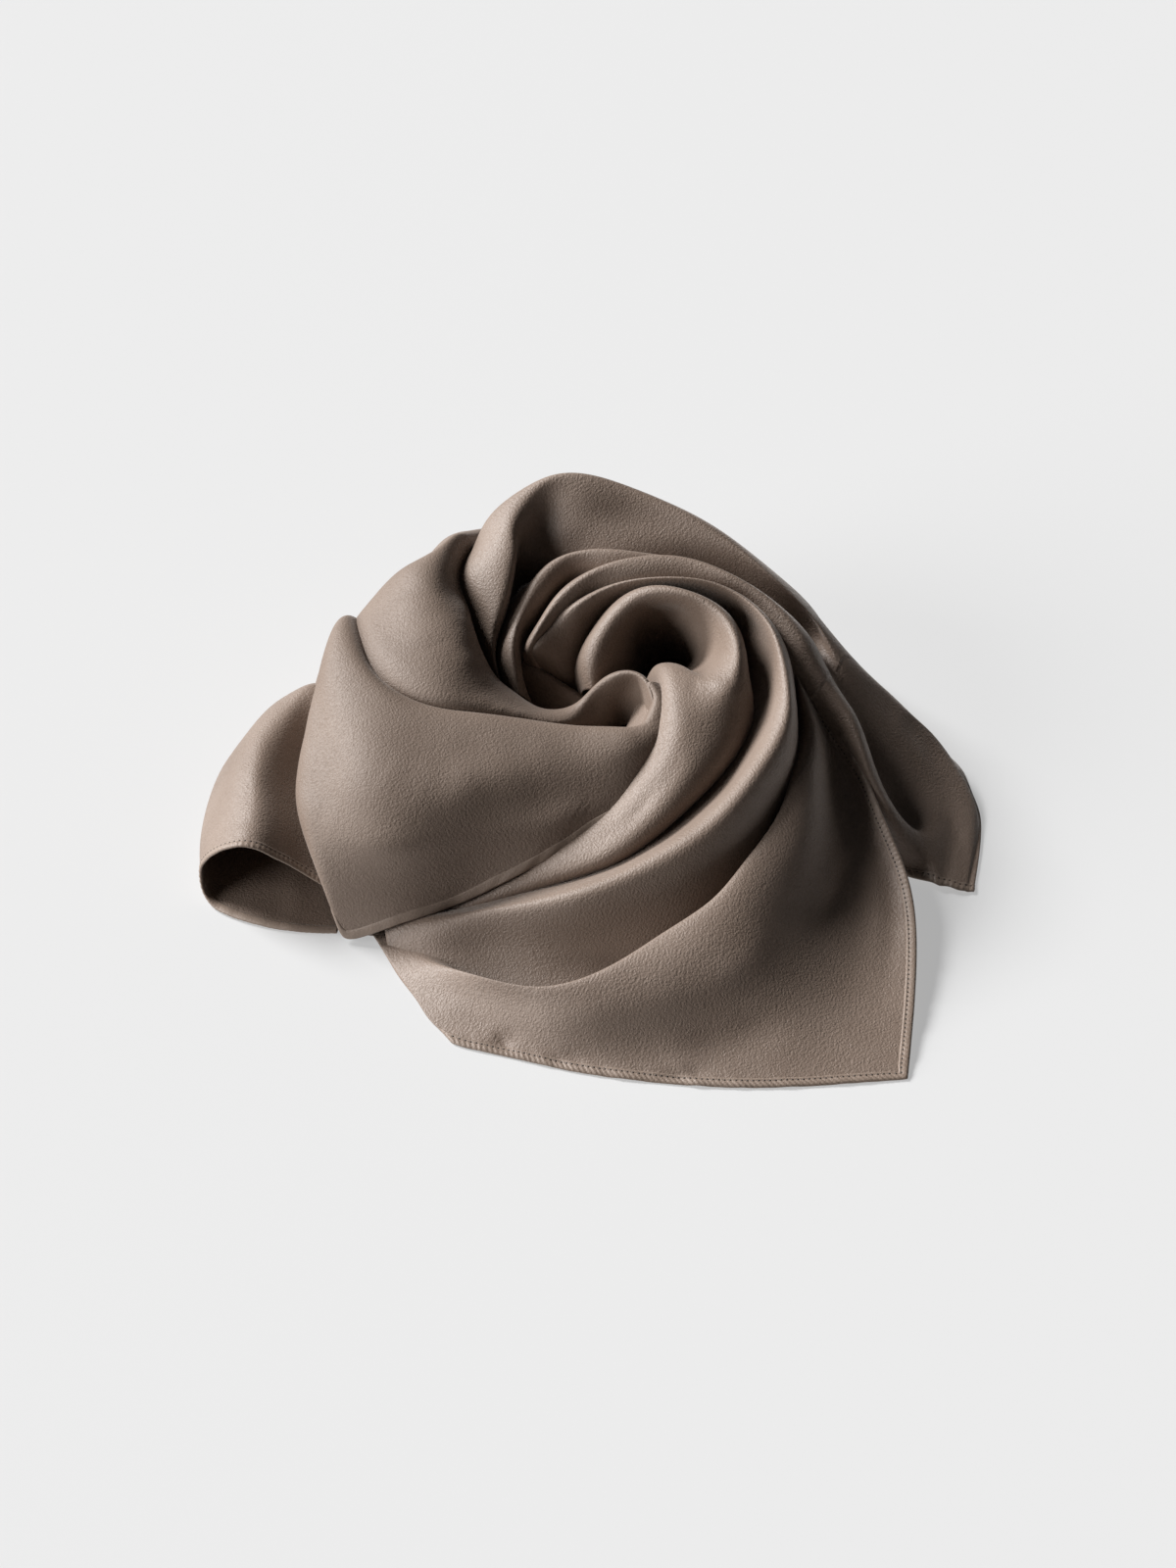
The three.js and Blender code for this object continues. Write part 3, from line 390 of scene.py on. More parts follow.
# %% Lay the stretches
RIGHT_ROWS = np.concatenate([RIGHT_RIDGE, RIGHT_SLOPE], axis=1)
VALLEY = 4
RIDGE_ACROSS, HOOD_ACROSS = 41, 91
HEM_CORNER = (6, 5)
hood_rows = np.concatenate([HOOD, RIGHT_ROWS[:3, VALLEY:]])
outer_rows = np.concatenate([OUTER_RIDGE, RIGHT_ROWS[:3, : VALLEY + 1]])
fold = {
    "front_corner": Cloth(FRONT_CORNER, 250, 125, corner=HEM_CORNER),
    "left_front_panel": Cloth(LEFT_FRONT_PANEL, 260, 125),
    "upper_left_panel": Cloth(UPPER_LEFT_PANEL, 250, 80),
    "hood": Cloth(hood_rows, 210, HOOD_ACROSS, end=len(HOOD)),
    "outer_ridge": Cloth(outer_rows, 170, RIDGE_ACROSS, end=len(OUTER_RIDGE)),
    "middle_ridge": Cloth(MIDDLE_RIDGE, 280, 62),
    "funnel_ridge": Cloth(FUNNEL_RIDGE, 260, 95),
    "back_ridge": Cloth(BACK_RIDGE, 110, 45),
    "pocket_fold": Cloth(POCKET_FOLD, 60, 35),
    "left_loop": Cloth(np.concatenate([LOOP_TOP, LOOP_UNDER], axis=1), 130, 160),
}
last_rows = np.concatenate([OUTER_RIDGE[-1:, :VALLEY], HOOD[-1:]], axis=1)
right = Cloth(np.concatenate([last_rows, RIGHT_ROWS]), 120, 129, start=1)
fold["right_corner"] = right
for name, cloth in fold.items():
    print(name, "has", cloth.points.shape[0], "lines of", cloth.points.shape[1], "points")


# %% Give the right corner the same cross places as its neighbours
def line_up(cloth, columns):
    """The points of a cloth at other places across it, given as column numbers of its table."""
    at = np.interp(columns, cloth.column, np.arange(len(cloth.column)))
    i = np.broadcast_to(np.arange(len(cloth.row))[:, None], (len(cloth.row), len(at)))
    return sample(cloth.points, i.astype(float), np.broadcast_to(at, i.shape))


across_both = np.concatenate([fold["outer_ridge"].column, VALLEY + fold["hood"].column[1:]])
right.points = line_up(right, across_both)
right.column = across_both
print("places across the right corner:", len(across_both))

# %% [markdown]
# ## Creases
# Between the big folds, satin shows soft troughs and ridges where it was gathered or dented. A
# noise texture would spread them evenly, which cloth never does, so each one is listed: the
# rows and columns that it runs through, its width, its depth (a ridge has a minus), and how much
# it wavers. Their edges rise a little, as in a real dent.

# %% How a crease is pressed in
STEPS = 70


def press(cloth, creases):
    """Press creases into a cloth, and say how far the deepest goes, in metres."""
    flat = cloth.lengths()
    out = cloth.normals()
    move = np.zeros(flat.shape[:2])
    for number, (path, width, depth) in enumerate(creases):
        path = np.array(path, float)
        t = np.linspace(0, len(path) - 1, STEPS)
        knots = np.arange(len(path), dtype=float)
        line = spline_weights(knots, t) @ path
        i, j = cloth.place(line[:, 0], line[:, 1])
        on_cloth = sample(flat, i, j)
        apart = flat[:, :, None, :] - on_cloth[None, None]
        squared = (apart**2).sum(axis=-1)
        d = np.sqrt(squared.min(axis=-1)) / (width * MM)
        along = squared.argmin(axis=-1) / (STEPS - 1)
        strength = np.sin(np.pi * np.clip(along, 0.02, 0.98)) ** 0.7
        strength *= 1 + 0.22 * np.sin(9 * along + 2.1 * number) + 0.12 * np.sin(23 * along + number)
        move -= depth * MM * strength * (1 - 0.55 * d**2) * np.exp(-(d**2))
    cloth.points = cloth.points + out * move[..., None]
    return float(np.abs(move).max())


print("steps along each crease:", STEPS)

# %% Press the creases in
# stretch, width and depth in millimetres | row and column of each point
CREASES = """
front_corner       9  1.6 | 1.5 4.2 | 3.0 4.6 | 4.2 4.4
front_corner       6  0.9 | 2.6 5.2 | 3.6 5.6 | 4.6 5.5
front_corner      12  1.2 | 5.0 4.2 | 6.2 4.6 | 7.6 4.4
front_corner       5  0.7 | 6.4 5.2 | 6.9 5.7 | 7.2 6.0
front_corner       5  0.8 | 7.8 5.0 | 8.2 5.6 | 8.4 6.0
front_corner       5  0.9 | 8.6 4.4 | 9.1 5.4 | 9.3 6.0
front_corner      10 -0.8 | 4.4 3.4 | 6.0 3.6 | 8.0 3.5
left_front_panel   9  1.5 | 4.6 4.2 | 5.6 4.35 | 7.4 4.3 | 9.0 4.5
left_front_panel  16  0.9 | 5.4 3.0 | 6.6 3.3 | 8.0 3.1
left_front_panel  12 -0.6 | 6.2 2.2 | 7.6 2.5 | 9.4 2.3
left_front_panel  12  1.2 | 3.4 2.6 | 4.0 3.6 | 4.4 4.6
left_front_panel   7  0.8 | 9.6 1.6 | 10.8 2.2 | 11.6 3.0
upper_left_panel  14  1.2 | 3.4 2.1 | 4.6 2.6 | 5.8 2.4
upper_left_panel  10  0.9 | 5.2 1.4 | 6.2 1.8 | 7.4 1.5
upper_left_panel  12  1.4 | 1.2 2.2 | 2.4 3.2 | 3.2 4.4
upper_left_panel  11 -0.9 | 2.6 3.0 | 4.0 3.7 | 5.0 4.4
upper_left_panel   6  0.5 | 7.2 2.2 | 8.2 2.5 | 9.2 2.2
hood               9  1.6 | 7.2 4.3 | 7.5 5.2 | 7.6 5.9
hood              11  1.8 | 8.6 4.2 | 8.8 5.0 | 8.9 5.9
hood               8  1.0 | 9.9 4.4 | 10.1 5.3 | 10.2 5.9
hood               8  0.9 | 4.2 1.2 | 6.0 1.5 | 8.0 1.4 | 10.0 1.5
hood               8  0.8 | 2.2 2.4 | 3.6 2.0 | 4.8 1.6
right_corner       8  0.9 | 1.6 6.4 | 3.0 6.6 | 4.6 6.4
right_corner       9  0.8 | 2.6 8.2 | 3.8 8.4 | 5.0 8.2
right_corner       6  0.4 | 5.2 5.4 | 6.0 6.0 | 6.7 6.6
middle_ridge       9  1.0 | 9.0 1.2 | 11.0 1.0 | 13.0 1.1
middle_ridge       9  0.9 | 10.0 3.2 | 12.0 3.4 | 13.6 3.2
funnel_ridge       9  0.8 | 5.6 2.3 | 7.0 2.6 | 8.2 2.4
funnel_ridge       8  0.8 | 8.4 3.3 | 10.0 3.5 | 11.6 3.3
funnel_ridge      10  0.9 | 3.0 1.2 | 4.0 1.4 | 5.2 1.1
left_loop         10  0.9 | 0.6 3.4 | 2.0 3.1 | 3.4 3.3
left_loop          8  0.7 | 0.4 9.2 | 1.4 9.0 | 2.6 9.3
"""
creases = {}
for line in CREASES.strip().splitlines():
    (name, width, depth), *path = [cell.split() for cell in line.split("|")]
    creases.setdefault(name, []).append((path, float(width), float(depth)))
for name, lines in creases.items():
    print(name, len(lines), "creases, deepest", round(press(fold[name], lines) / MM, 1), "mm")

# %% [markdown]
# ## The seams of the model
# The real cloth has no seam between the high fold, the outer ridge and the right corner, so none
# may show. The edges are pulled together, then the bend across them is smoothed, as a fingertip
# would stroke it flat. The valley where the three meet stays sharp, but its slit is closed.

# %% Make the three seams meet
FADE = 30
valley = RIDGE_ACROSS - 1
SEAMS = {"outer_ridge": slice(0, valley + 1), "hood": slice(valley, None)}
fade = (0.5 - 0.5 * np.cos(np.linspace(0, math.pi, FADE)))[:, None, None]
for neighbour, part in SEAMS.items():
    pull = right.points[0, part] - fold[neighbour].points[-1]
    fold[neighbour].points[-FADE:] += pull * fade
    print(neighbour, "edge moved by up to", round(float(np.abs(pull).max()) / MM, 2), "mm")

# %% Smooth the bend across the seams
REACH, STROKES, SHARP = 16, 40, 6
for neighbour, part in SEAMS.items():
    line = np.concatenate([fold[neighbour].points[-REACH - 1 : -1], right.points[: REACH + 1, part]])
    smooth = line.copy()
    for _ in range(STROKES):
        smooth[1:-1] += 0.25 * (smooth[:-2] + smooth[2:] - 2 * smooth[1:-1])
    share = np.clip(np.abs(np.arange(len(across_both))[part] - valley) / SHARP, 0, 1)[:, None]
    line += (smooth - line) * share
    fold[neighbour].points[-REACH - 1 :] = line[: REACH + 1]
    right.points[: REACH + 1, part] = line[REACH:]
print("rows smoothed on each side:", REACH)

# %% Close the slit in the valley behind the seams
CLOSED, BESIDE = 28, 14
hood, ridge = fold["hood"].points, fold["outer_ridge"].points
beside = (1 - np.arange(BESIDE) / BESIDE)[:, None] ** 2
for back in range(1, CLOSED):
    apart = ridge[-1 - back, -1] - hood[-1 - back, 0]
    hold = min(1.0, 2.0 * (1 - back / CLOSED))
    hood[-1 - back, :BESIDE] += apart * hold * beside
print("width of the slit where the cloth is let go:", round(float(np.linalg.norm(apart)) / MM, 1), "mm")

# %% [markdown]
# ## A hem that puckers
# Stitching shortens the edge of a light cloth, so the strip beside the hem ripples. The ripple is
# strongest at the edge and dies out within about fifteen millimetres. It is made from waves whose
# lengths don't match, so it never repeats.

# %% Look inward from an edge
INWARD = {
    "last column": lambda grid: grid[:, ::-1],
    "first row": lambda grid: grid.swapaxes(0, 1),
    "last row": lambda grid: grid.swapaxes(0, 1)[:, ::-1],
}
HEMS = {
    "front_corner": "last column",
    "left_front_panel": "last column",
    "left_loop": "first row",
    "right_corner": "last row",
}


def from_edge(cloth, side):
    """Points and normals in lines that run inward from an edge, and millimetres along and inward."""
    points, out = INWARD[side](cloth.points), INWARD[side](cloth.normals())
    return points, out, walked(points[:, 0]) / MM, walked(points, axis=1) / MM


for name, side in HEMS.items():
    print(name, "has its hem at the", side, round(float(from_edge(fold[name], side)[2][-1])), "mm long")


# %% Ripple the cloth beside a hem
STILL_ENDS, DIES_OUT = 0.05, 8


def above_table(points, gap):
    """Lift the points that are lower than a gap in millimetres above the table."""
    points[..., 2] = np.maximum(points[..., 2], gap * MM)


def ripple(cloth, side, height):
    """Move the cloth beside an edge up and down by a height in millimetres."""
    points, out, s, depth = from_edge(cloth, side)
    wave = np.sin(s / 2.9 + 1.3 * np.sin(s / 17)) * (0.6 + 0.4 * np.sin(s / 23 + 1))
    wave += 0.6 * np.sin(s / 5.3 + 2) + 0.5 * np.sin(s / 1.7 + 0.8 * np.sin(s / 9))
    share = s / s[-1]
    wave *= np.clip(np.minimum(share, 1 - share) / STILL_ENDS, 0, 1)
    amount = height * MM * wave[:, None] * np.exp(-((depth / DIES_OUT) ** 1.5))
    moved = points + out * amount[..., None]
    above_table(moved, 0.9)
    INWARD[side](cloth.points)[...] = moved


for name, side in HEMS.items():
    ripple(fold[name], side, 0.24 if name == "front_corner" else 0.16)
print("hems rippled:", ", ".join(HEMS))

# %% [markdown]
# ## Satin
# Silk satin is a smooth, long-floated weave: bright where it faces the light, and dark in the
# folds. Close up it shows fine diagonal lines, and where it has been handled, a fine crinkle like
# soft leather. Both are heights for a Bump node. A third group makes the tone uneven with dye
# clouds, and paints shade into the crinkle: darker in its hollows, paler where it stands up. As
# node groups, all three serve the right side, the wrong side and the hem.

# %% Helpers for node trees
def new_group(name, inputs, outputs):
    tree = bpy.data.node_groups.new(name, "ShaderNodeTree")
    for way, sockets in (("INPUT", inputs), ("OUTPUT", outputs)):
        for label, kind in sockets.items():
            tree.interface.new_socket(label, in_out=way, socket_type=f"NodeSocket{kind}")
    return tree, tree.nodes.new("NodeGroupInput").outputs, tree.nodes.new("NodeGroupOutput").inputs


def node(tree, kind, settings=None, **values):
    """A node with its settings, and values for its inputs by name, or by number as i0, i1, i2."""
    made = tree.nodes.new(kind)
    for key, value in (settings or {}).items():
        setattr(made, key, value)
    for key, value in values.items():
        numbered = key[0] == "i" and key[1:].isdigit()
        socket = made.inputs[int(key[1:]) if numbered else key.replace("_", " ")]
        if isinstance(value, bpy.types.NodeSocket):
            tree.links.new(value, socket)
        else:
            socket.default_value = value
    return made


def math_node(tree, operation, a, b=0.0, c=0.0):
    return node(tree, "ShaderNodeMath", {"operation": operation}, i0=a, i1=b, i2=c).outputs[0]


def noise(tree, place, scale, detail, roughness=0.5):
    made = node(
        tree, "ShaderNodeTexNoise", Vector=place, Scale=scale, Detail=detail, Roughness=roughness
    )
    return made.outputs


# %% The fine crinkle
crinkle, inside, outside = new_group(
    "fine crinkle", {"Place": "Vector", "Grain mm": "Float"}, {"Height": "Float"}
)
per_metre = math_node(crinkle, "DIVIDE", 1000.0, inside["Grain mm"])
bent = noise(crinkle, inside["Place"], 380.0, 2.0, 0.55)["Color"]
push = node(crinkle, "ShaderNodeVectorMath", {"operation": "SCALE"}, i0=bent, Scale=0.0022)
wavy = node(
    crinkle, "ShaderNodeVectorMath", {"operation": "ADD"}, i0=inside["Place"], i1=push.outputs[0]
).outputs[0]
cells = node(
    crinkle, "ShaderNodeTexVoronoi", {"feature": "SMOOTH_F1"},
    Vector=wavy, Scale=per_metre, Smoothness=0.6, Randomness=1.0,
)
grains = noise(crinkle, wavy, per_metre, 3.0, 0.6)["Fac"]
mixed = math_node(crinkle, "MULTIPLY_ADD", cells.outputs["Distance"], -0.7, 0.8)
total = math_node(crinkle, "MULTIPLY_ADD", grains, 0.6, mixed)
crinkle.links.new(total, outside["Height"])
print("group", crinkle.name)

# %% The diagonal lines of the weave
# One turn of a sine, for a pitch in millimetres and a place in metres.
TURN = 6283.19
twill, inside, outside = new_group(
    "satin twill",
    {"Cloth": "Vector", "Place": "Vector", "Pitch mm": "Float"},
    {"Height": "Float", "Clearness": "Float"},
)
tilted = node(
    twill, "ShaderNodeMapping", {"vector_type": "POINT"},
    Vector=inside["Cloth"], Rotation=(0, 0, math.radians(38)),
)
split = node(twill, "ShaderNodeSeparateXYZ", Vector=tilted.outputs[0])
turns = math_node(twill, "DIVIDE", TURN, inside["Pitch mm"])
phase = math_node(twill, "MULTIPLY", split.outputs["X"], turns)
drift = math_node(twill, "MULTIPLY", noise(twill, inside["Place"], 90.0, 3.0)["Fac"], 9.0)
line = math_node(twill, "SINE", math_node(twill, "ADD", phase, drift))
twill.links.new(line, outside["Height"])
clear = node(
    twill, "ShaderNodeMapRange", {"interpolation_type": "SMOOTHSTEP"},
    Value=noise(twill, inside["Place"], 22.0, 1.0)["Fac"], i1=0.42, i2=0.62, i3=0.25, i4=1.0,
)
twill.links.new(clear.outputs[0], outside["Clearness"])
print("group", twill.name)

# %% Uneven dye tone, and painted shade in the crinkle hollows
tone, inside, outside = new_group(
    "uneven dye and painted crinkle shade",
    {"Place": "Vector", "Deep": "Color", "Light": "Color", "Height": "Float"},
    {"Color": "Color"},
)
clouds = noise(tone, inside["Place"], 26.0, 4.0, 0.55)["Fac"]
uneven = node(tone, "ShaderNodeMapRange", Value=clouds, i1=0.3, i2=0.7, i3=0.3, i4=0.7)
lowered = math_node(tone, "ADD", uneven.outputs[0], -0.28)
# Painted shade and light: the crinkle's hollows are made darker and its crests paler.
raised = math_node(tone, "MULTIPLY_ADD", inside["Height"], 0.55, lowered)
blend = node(
    tone, "ShaderNodeMix", {"data_type": "RGBA", "clamp_factor": True},
    Factor=raised, i6=inside["Deep"], i7=inside["Light"],
)
tone.links.new(blend.outputs[2], outside["Color"])
print("group", tone.name)

# %% [markdown]
# The right side and the wrong side of a satin differ: the wrong side is duller, because there the
# short floats of the weave show. One function makes both, each with its own roughness and tones.
# The sheen, which is light caught by fibre ends, is a constant on the shader itself.

# %% A cloth material
TWILL_PITCH = 1.8


def new_material(name):
    made = bpy.data.materials.new(name)
    made.use_nodes = True
    return made, made.node_tree, made.node_tree.nodes["Principled BSDF"]


def satin(name, deep, light, roughness, sheen, crinkle_height, twill_height, grain):
    made, tree, shader = new_material(name)
    place = node(tree, "ShaderNodeTexCoord").outputs
    fine = node(tree, "ShaderNodeGroup", {"node_tree": crinkle}, Place=place["Object"], Grain_mm=grain)
    lines = node(
        tree, "ShaderNodeGroup", {"node_tree": twill},
        Cloth=place["UV"], Place=place["Object"], Pitch_mm=TWILL_PITCH,
    )
    colour = node(
        tree, "ShaderNodeGroup", {"node_tree": tone},
        Place=place["Object"], Deep=(*deep, 1), Light=(*light, 1), Height=fine.outputs["Height"],
    )
    tree.links.new(colour.outputs["Color"], shader.inputs["Base Color"])
    rough = node(
        tree, "ShaderNodeMapRange",
        Value=fine.outputs["Height"], i1=0.2, i2=0.9, i3=roughness + 0.1, i4=roughness - 0.06,
    )
    tree.links.new(rough.outputs[0], shader.inputs["Roughness"])
    shader.inputs["Specular IOR Level"].default_value = 0.55
    shader.inputs["Sheen Weight"].default_value = sheen
    shader.inputs["Sheen Roughness"].default_value = 0.35
    shader.inputs["Sheen Tint"].default_value = (1.0, 0.93, 0.88, 1)
    weave = math_node(tree, "MULTIPLY", lines.outputs["Height"], lines.outputs["Clearness"])
    weave = math_node(tree, "MULTIPLY", weave, twill_height)
    height = math_node(tree, "MULTIPLY_ADD", fine.outputs["Height"], crinkle_height, weave)
    bump = node(tree, "ShaderNodeBump", Height=height, Strength=1.0, Distance=MM)
    tree.links.new(bump.outputs["Normal"], shader.inputs["Normal"])
    return made


print("twill lines every", TWILL_PITCH, "mm")

# %% The satins
RIGHT_SIDE = satin(
    "satin right side", deep=(0.132, 0.088, 0.062), light=(0.236, 0.176, 0.140),
    roughness=0.58, sheen=0.26, crinkle_height=0.30, twill_height=0.014, grain=1.0,
)
WRONG_SIDE = satin(
    "satin wrong side", deep=(0.120, 0.080, 0.057), light=(0.202, 0.148, 0.115),
    roughness=0.64, sheen=0.18, crinkle_height=0.26, twill_height=0.012, grain=1.0,
)
HEM_FOLD = satin(
    "satin hem", deep=(0.158, 0.108, 0.078), light=(0.258, 0.196, 0.156),
    roughness=0.56, sheen=0.24, crinkle_height=0.16, twill_height=0.010, grain=0.8,
)
print("materials:", RIGHT_SIDE.name, WRONG_SIDE.name, HEM_FOLD.name)

# %% Thread, painted dark for the shade of its groove, and dark dots of painted shade where the needle went through
def thread_or_shade_material(name, colour, roughness):
    made, tree, shader = new_material(name)
    strands = noise(tree, node(tree, "ShaderNodeTexCoord").outputs["Object"], 2600.0, 2.0)["Fac"]
    ramp = node(
        tree, "ShaderNodeMix", {"data_type": "RGBA"}, Factor=strands,
        i6=(*[c * 0.75 for c in colour], 1), i7=(*[c * 1.2 for c in colour], 1),
    )
    tree.links.new(ramp.outputs[2], shader.inputs["Base Color"])
    shader.inputs["Roughness"].default_value = roughness
    bump = node(tree, "ShaderNodeBump", Height=strands, Strength=0.5, Distance=0.1 * MM)
    tree.links.new(bump.outputs["Normal"], shader.inputs["Normal"])
    return made


# The thread colour is painted very dark. It stands for the shade of the groove that the stitches lie in.
THREAD_IN_PAINTED_SHADE = thread_or_shade_material("sewing thread in painted shade", (0.040, 0.027, 0.020), 0.6)
NEEDLE_HOLE_SHADE = thread_or_shade_material("painted shade at a stitch hole", (0.030, 0.020, 0.015), 0.9)
print("materials:", THREAD_IN_PAINTED_SHADE.name, NEEDLE_HOLE_SHADE.name)

# %% [markdown]
# ## Thin shells
# Satin is about a fifth of a millimetre thick. A shell of half a millimetre still reads as thin,
# and has an inside for the wrong side of the cloth. A Solidify modifier could do this; building
# both faces and the rim directly keeps the two materials and the weld of the seams simple.

# %% Make a smooth mesh
def build(name, points, faces, materials, kinds=None, weave=None, closed=False):
    """Make a smooth mesh. Kinds are the faces' material numbers, weave the points' places in the
    flat cloth. On a closed mesh, all faces are turned outward."""
    mesh = bpy.data.meshes.new(name)
    mesh.from_pydata(np.asarray(points, float).tolist(), [], faces)
    if closed:
        work = bmesh.new()
        work.from_mesh(mesh)
        bmesh.ops.recalc_face_normals(work, faces=work.faces)
        work.to_mesh(mesh)
        work.free()
    for material in materials:
        mesh.materials.append(material)
    if kinds is not None:
        mesh.polygons.foreach_set("material_index", np.array(kinds, dtype=np.int32))
    if weave is not None:
        corners = np.empty(len(mesh.loops), dtype=np.int32)
        mesh.loops.foreach_get("vertex_index", corners)
        layer = mesh.uv_layers.new(name="weave")
        layer.data.foreach_set("uv", np.asarray(weave, dtype=np.float32)[corners].reshape(-1))
    mesh.shade_smooth()
    return show(name, mesh)


print("helpers so far:", ", ".join(helper.__name__ for helper in (show, node, build)))

# %% Build a shell from one or more stretches
THICK = 0.5 * MM


def shell(name, stretches):
    """Two faces of cloth and a rim round each stretch; where stretches meet, the inside agrees."""
    vertices, faces, sides, weave = [], [], [], []
    first = 0
    for cloth in stretches:
        rows, columns = cloth.points.shape[:2]
        out = cloth.normals()
        lower = cloth.points - out * THICK
        above_table(lower, 0.15)
        vertices += [cloth.points.reshape(-1, 3), lower.reshape(-1, 3)]
        flat = cloth.lengths().reshape(-1, 2)
        weave += [flat, flat]
        up = first + np.arange(rows * columns).reshape(rows, columns)
        down = up + rows * columns
        first += 2 * rows * columns
        top = np.stack([up[:-1, :-1], up[1:, :-1], up[1:, 1:], up[:-1, 1:]], axis=-1)
        under = np.stack([down[:-1, :-1], down[:-1, 1:], down[1:, 1:], down[1:, :-1]], axis=-1)
        faces += [top.reshape(-1, 4), under.reshape(-1, 4)]
        sides += [np.zeros(top[..., 0].size, int), np.ones(under[..., 0].size, int)]
        rims = (up[0], down[0]), (down[-1], up[-1]), (down[:, 0], up[:, 0]), (up[:, -1], down[:, -1])
        for a, b in rims:
            rim = np.stack([a[:-1], a[1:], b[1:], b[:-1]], axis=-1)
            faces.append(rim)
            sides.append(np.zeros(len(rim), int))
    if len(stretches) > 1:
        upper, lower = np.concatenate(vertices[::2]), np.concatenate(vertices[1::2])
        _, same = np.unique(np.round(upper, 7), axis=0, return_inverse=True)
        same = same.reshape(-1)
        mean = np.stack([np.bincount(same, lower[:, k]) for k in range(3)], axis=-1)
        lower = (mean / np.bincount(same)[:, None])[same]
        cuts = np.cumsum([len(v) for v in vertices[1::2]])[:-1]
        vertices[1::2] = np.split(lower, cuts)
    vertices, faces, sides, weave = (np.concatenate(part) for part in (vertices, faces, sides, weave))
    return build(name, vertices, faces.tolist(), (RIGHT_SIDE, WRONG_SIDE), sides, weave)


print("shells are", THICK / MM, "mm thick")

# %% Weld the seams of a shell
COINCIDE = 1e-6


def weld(piece):
    """Join the seams whose points coincide, and drop the rims that end up between them."""
    work = bmesh.new()
    work.from_mesh(piece.data)
    before = len(work.verts)
    bmesh.ops.remove_doubles(work, verts=work.verts, dist=COINCIDE)
    seen = {}
    for face in work.faces:
        seen.setdefault(frozenset(v.index for v in face.verts), []).append(face)
    doubled = [face for same in seen.values() if len(same) > 1 for face in same]
    bmesh.ops.delete(work, geom=doubled, context="FACES_ONLY")
    work.to_mesh(piece.data)
    work.free()
    piece.data.shade_smooth()
    return before - len(piece.data.vertices)


print("points are welded when they are closer than", COINCIDE / MM, "mm")

# %% The single stretches
def area_of(cloth):
    p = cloth.points
    return float(np.linalg.norm(np.cross(p[1:, :-1] - p[:-1, :-1], p[:-1, 1:] - p[:-1, :-1]), axis=-1).sum())


pieces = {}
single = [name for name in fold if name not in ("hood", "outer_ridge", "right_corner")]
for name in single:
    pieces[name] = shell(f"{name}_cloth", [fold[name]])
    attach(pieces[name], "root")
    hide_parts(name)
    print(name, round(area_of(fold[name]) * 1e4), "square cm,", len(pieces[name].data.polygons), "faces")

# %% The high fold, the outer ridge and the right corner in one
joint = ["hood", "outer_ridge", "right_corner"]
back_cloth = shell("back_and_right_cloth", [fold[name] for name in joint])
print("welded points:", weld(back_cloth))
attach(back_cloth, "root")
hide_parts(*joint)
print(back_cloth.name, len(back_cloth.data.polygons), "faces")

# %% [markdown]
# ## The hem
# The edge of a silk square is turned in twice and stitched down about three millimetres in. That
# makes a narrow raised band with a soft outer roll and a shallow groove at the stitches. It is a
# ring of points, given as distance inward and height, that is carried along the edge.

# %% Walk along an edge in even steps
LINES_IN = 6
SHARPEST = 0.45


def edge_frame(cloth, side, step):
    """Even steps along an edge, and a function that finds the points at a distance inward."""
    points, out, s, reach = from_edge(cloth, side)
    at = np.arange(0, s[-1], step)
    line = np.interp(at, s, np.arange(len(s)))
    tangent = np.gradient(points[:, 0], axis=0)
    tangent /= np.linalg.norm(tangent, axis=-1, keepdims=True)
    into = points[:, LINES_IN] - points[:, 0]
    into /= np.linalg.norm(into, axis=-1, keepdims=True)
    slant = 1 / np.clip(np.linalg.norm(np.cross(tangent, into), axis=-1), SHARPEST, 1)

    def find(distance, height):
        place = np.empty((len(s), 3))
        for i in range(len(s)):
            k = np.interp(max(distance, 0) * slant[i], reach[i], np.arange(reach.shape[1]))
            lo = min(int(k), reach.shape[1] - 2)
            place[i] = points[i, lo] * (1 - k + lo) + points[i, lo + 1] * (k - lo)
            place[i] += into[i] * min(distance, 0) * slant[i] * MM
            place[i] += out[i, min(lo, 4)] * height * MM
        i0 = np.clip(line.astype(int), 0, len(s) - 2)
        w = (line - i0)[:, None]
        return place[i0] * (1 - w) + place[i0 + 1] * w

    return at, find


print("the way inward is taken", LINES_IN, "lines in from the edge")

# %% Carry a profile along an edge
STITCH_PITCH = 2.5
HEM_RING = np.array([
    (4.3, 0.02), (4.0, 0.26), (3.5, 0.36), (3.0, 0.20), (2.5, 0.40), (1.4, 0.56), (0.5, 0.56),
    (-0.2, 0.32), (-0.45, -0.15), (-0.2, -0.62), (0.5, -0.85), (2.0, -0.85), (3.7, -0.78), (4.3, -0.48),
])


def make_hem(name, cloth, side):
    at, find = edge_frame(cloth, side, step=STITCH_PITCH / 4)
    puff = 1 + 0.28 * np.cos(2 * math.pi * at / STITCH_PITCH) + 0.10 * np.sin(at / 7.3)
    ring = []
    for distance, height in HEM_RING:
        base, raised = find(distance, 0.0), find(distance, height)
        swell = puff[:, None] if 0 < height and distance < 3.2 else 1
        ring.append(base + (raised - base) * swell)
    ring = np.stack(ring, axis=1)
    above_table(ring, 0.1)
    count, around = ring.shape[:2]
    index = np.arange(count * around).reshape(count, around)
    following = np.roll(index, -1, axis=1)
    sides = np.stack([index[:-1], following[:-1], following[1:], index[1:]], axis=-1).reshape(-1, 4)
    faces = sides.tolist() + [index[0].tolist(), index[-1][::-1].tolist()]
    weave = np.stack(np.broadcast_arrays(at[:, None] * MM, np.arange(around) * 0.4 * MM), axis=-1)
    weave = weave.reshape(-1, 2)
    piece = build(name, ring.reshape(-1, 3), faces, [HEM_FOLD], weave=weave, closed=True)
    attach(piece, "root")
    return piece


print("points round the hem:", len(HEM_RING))

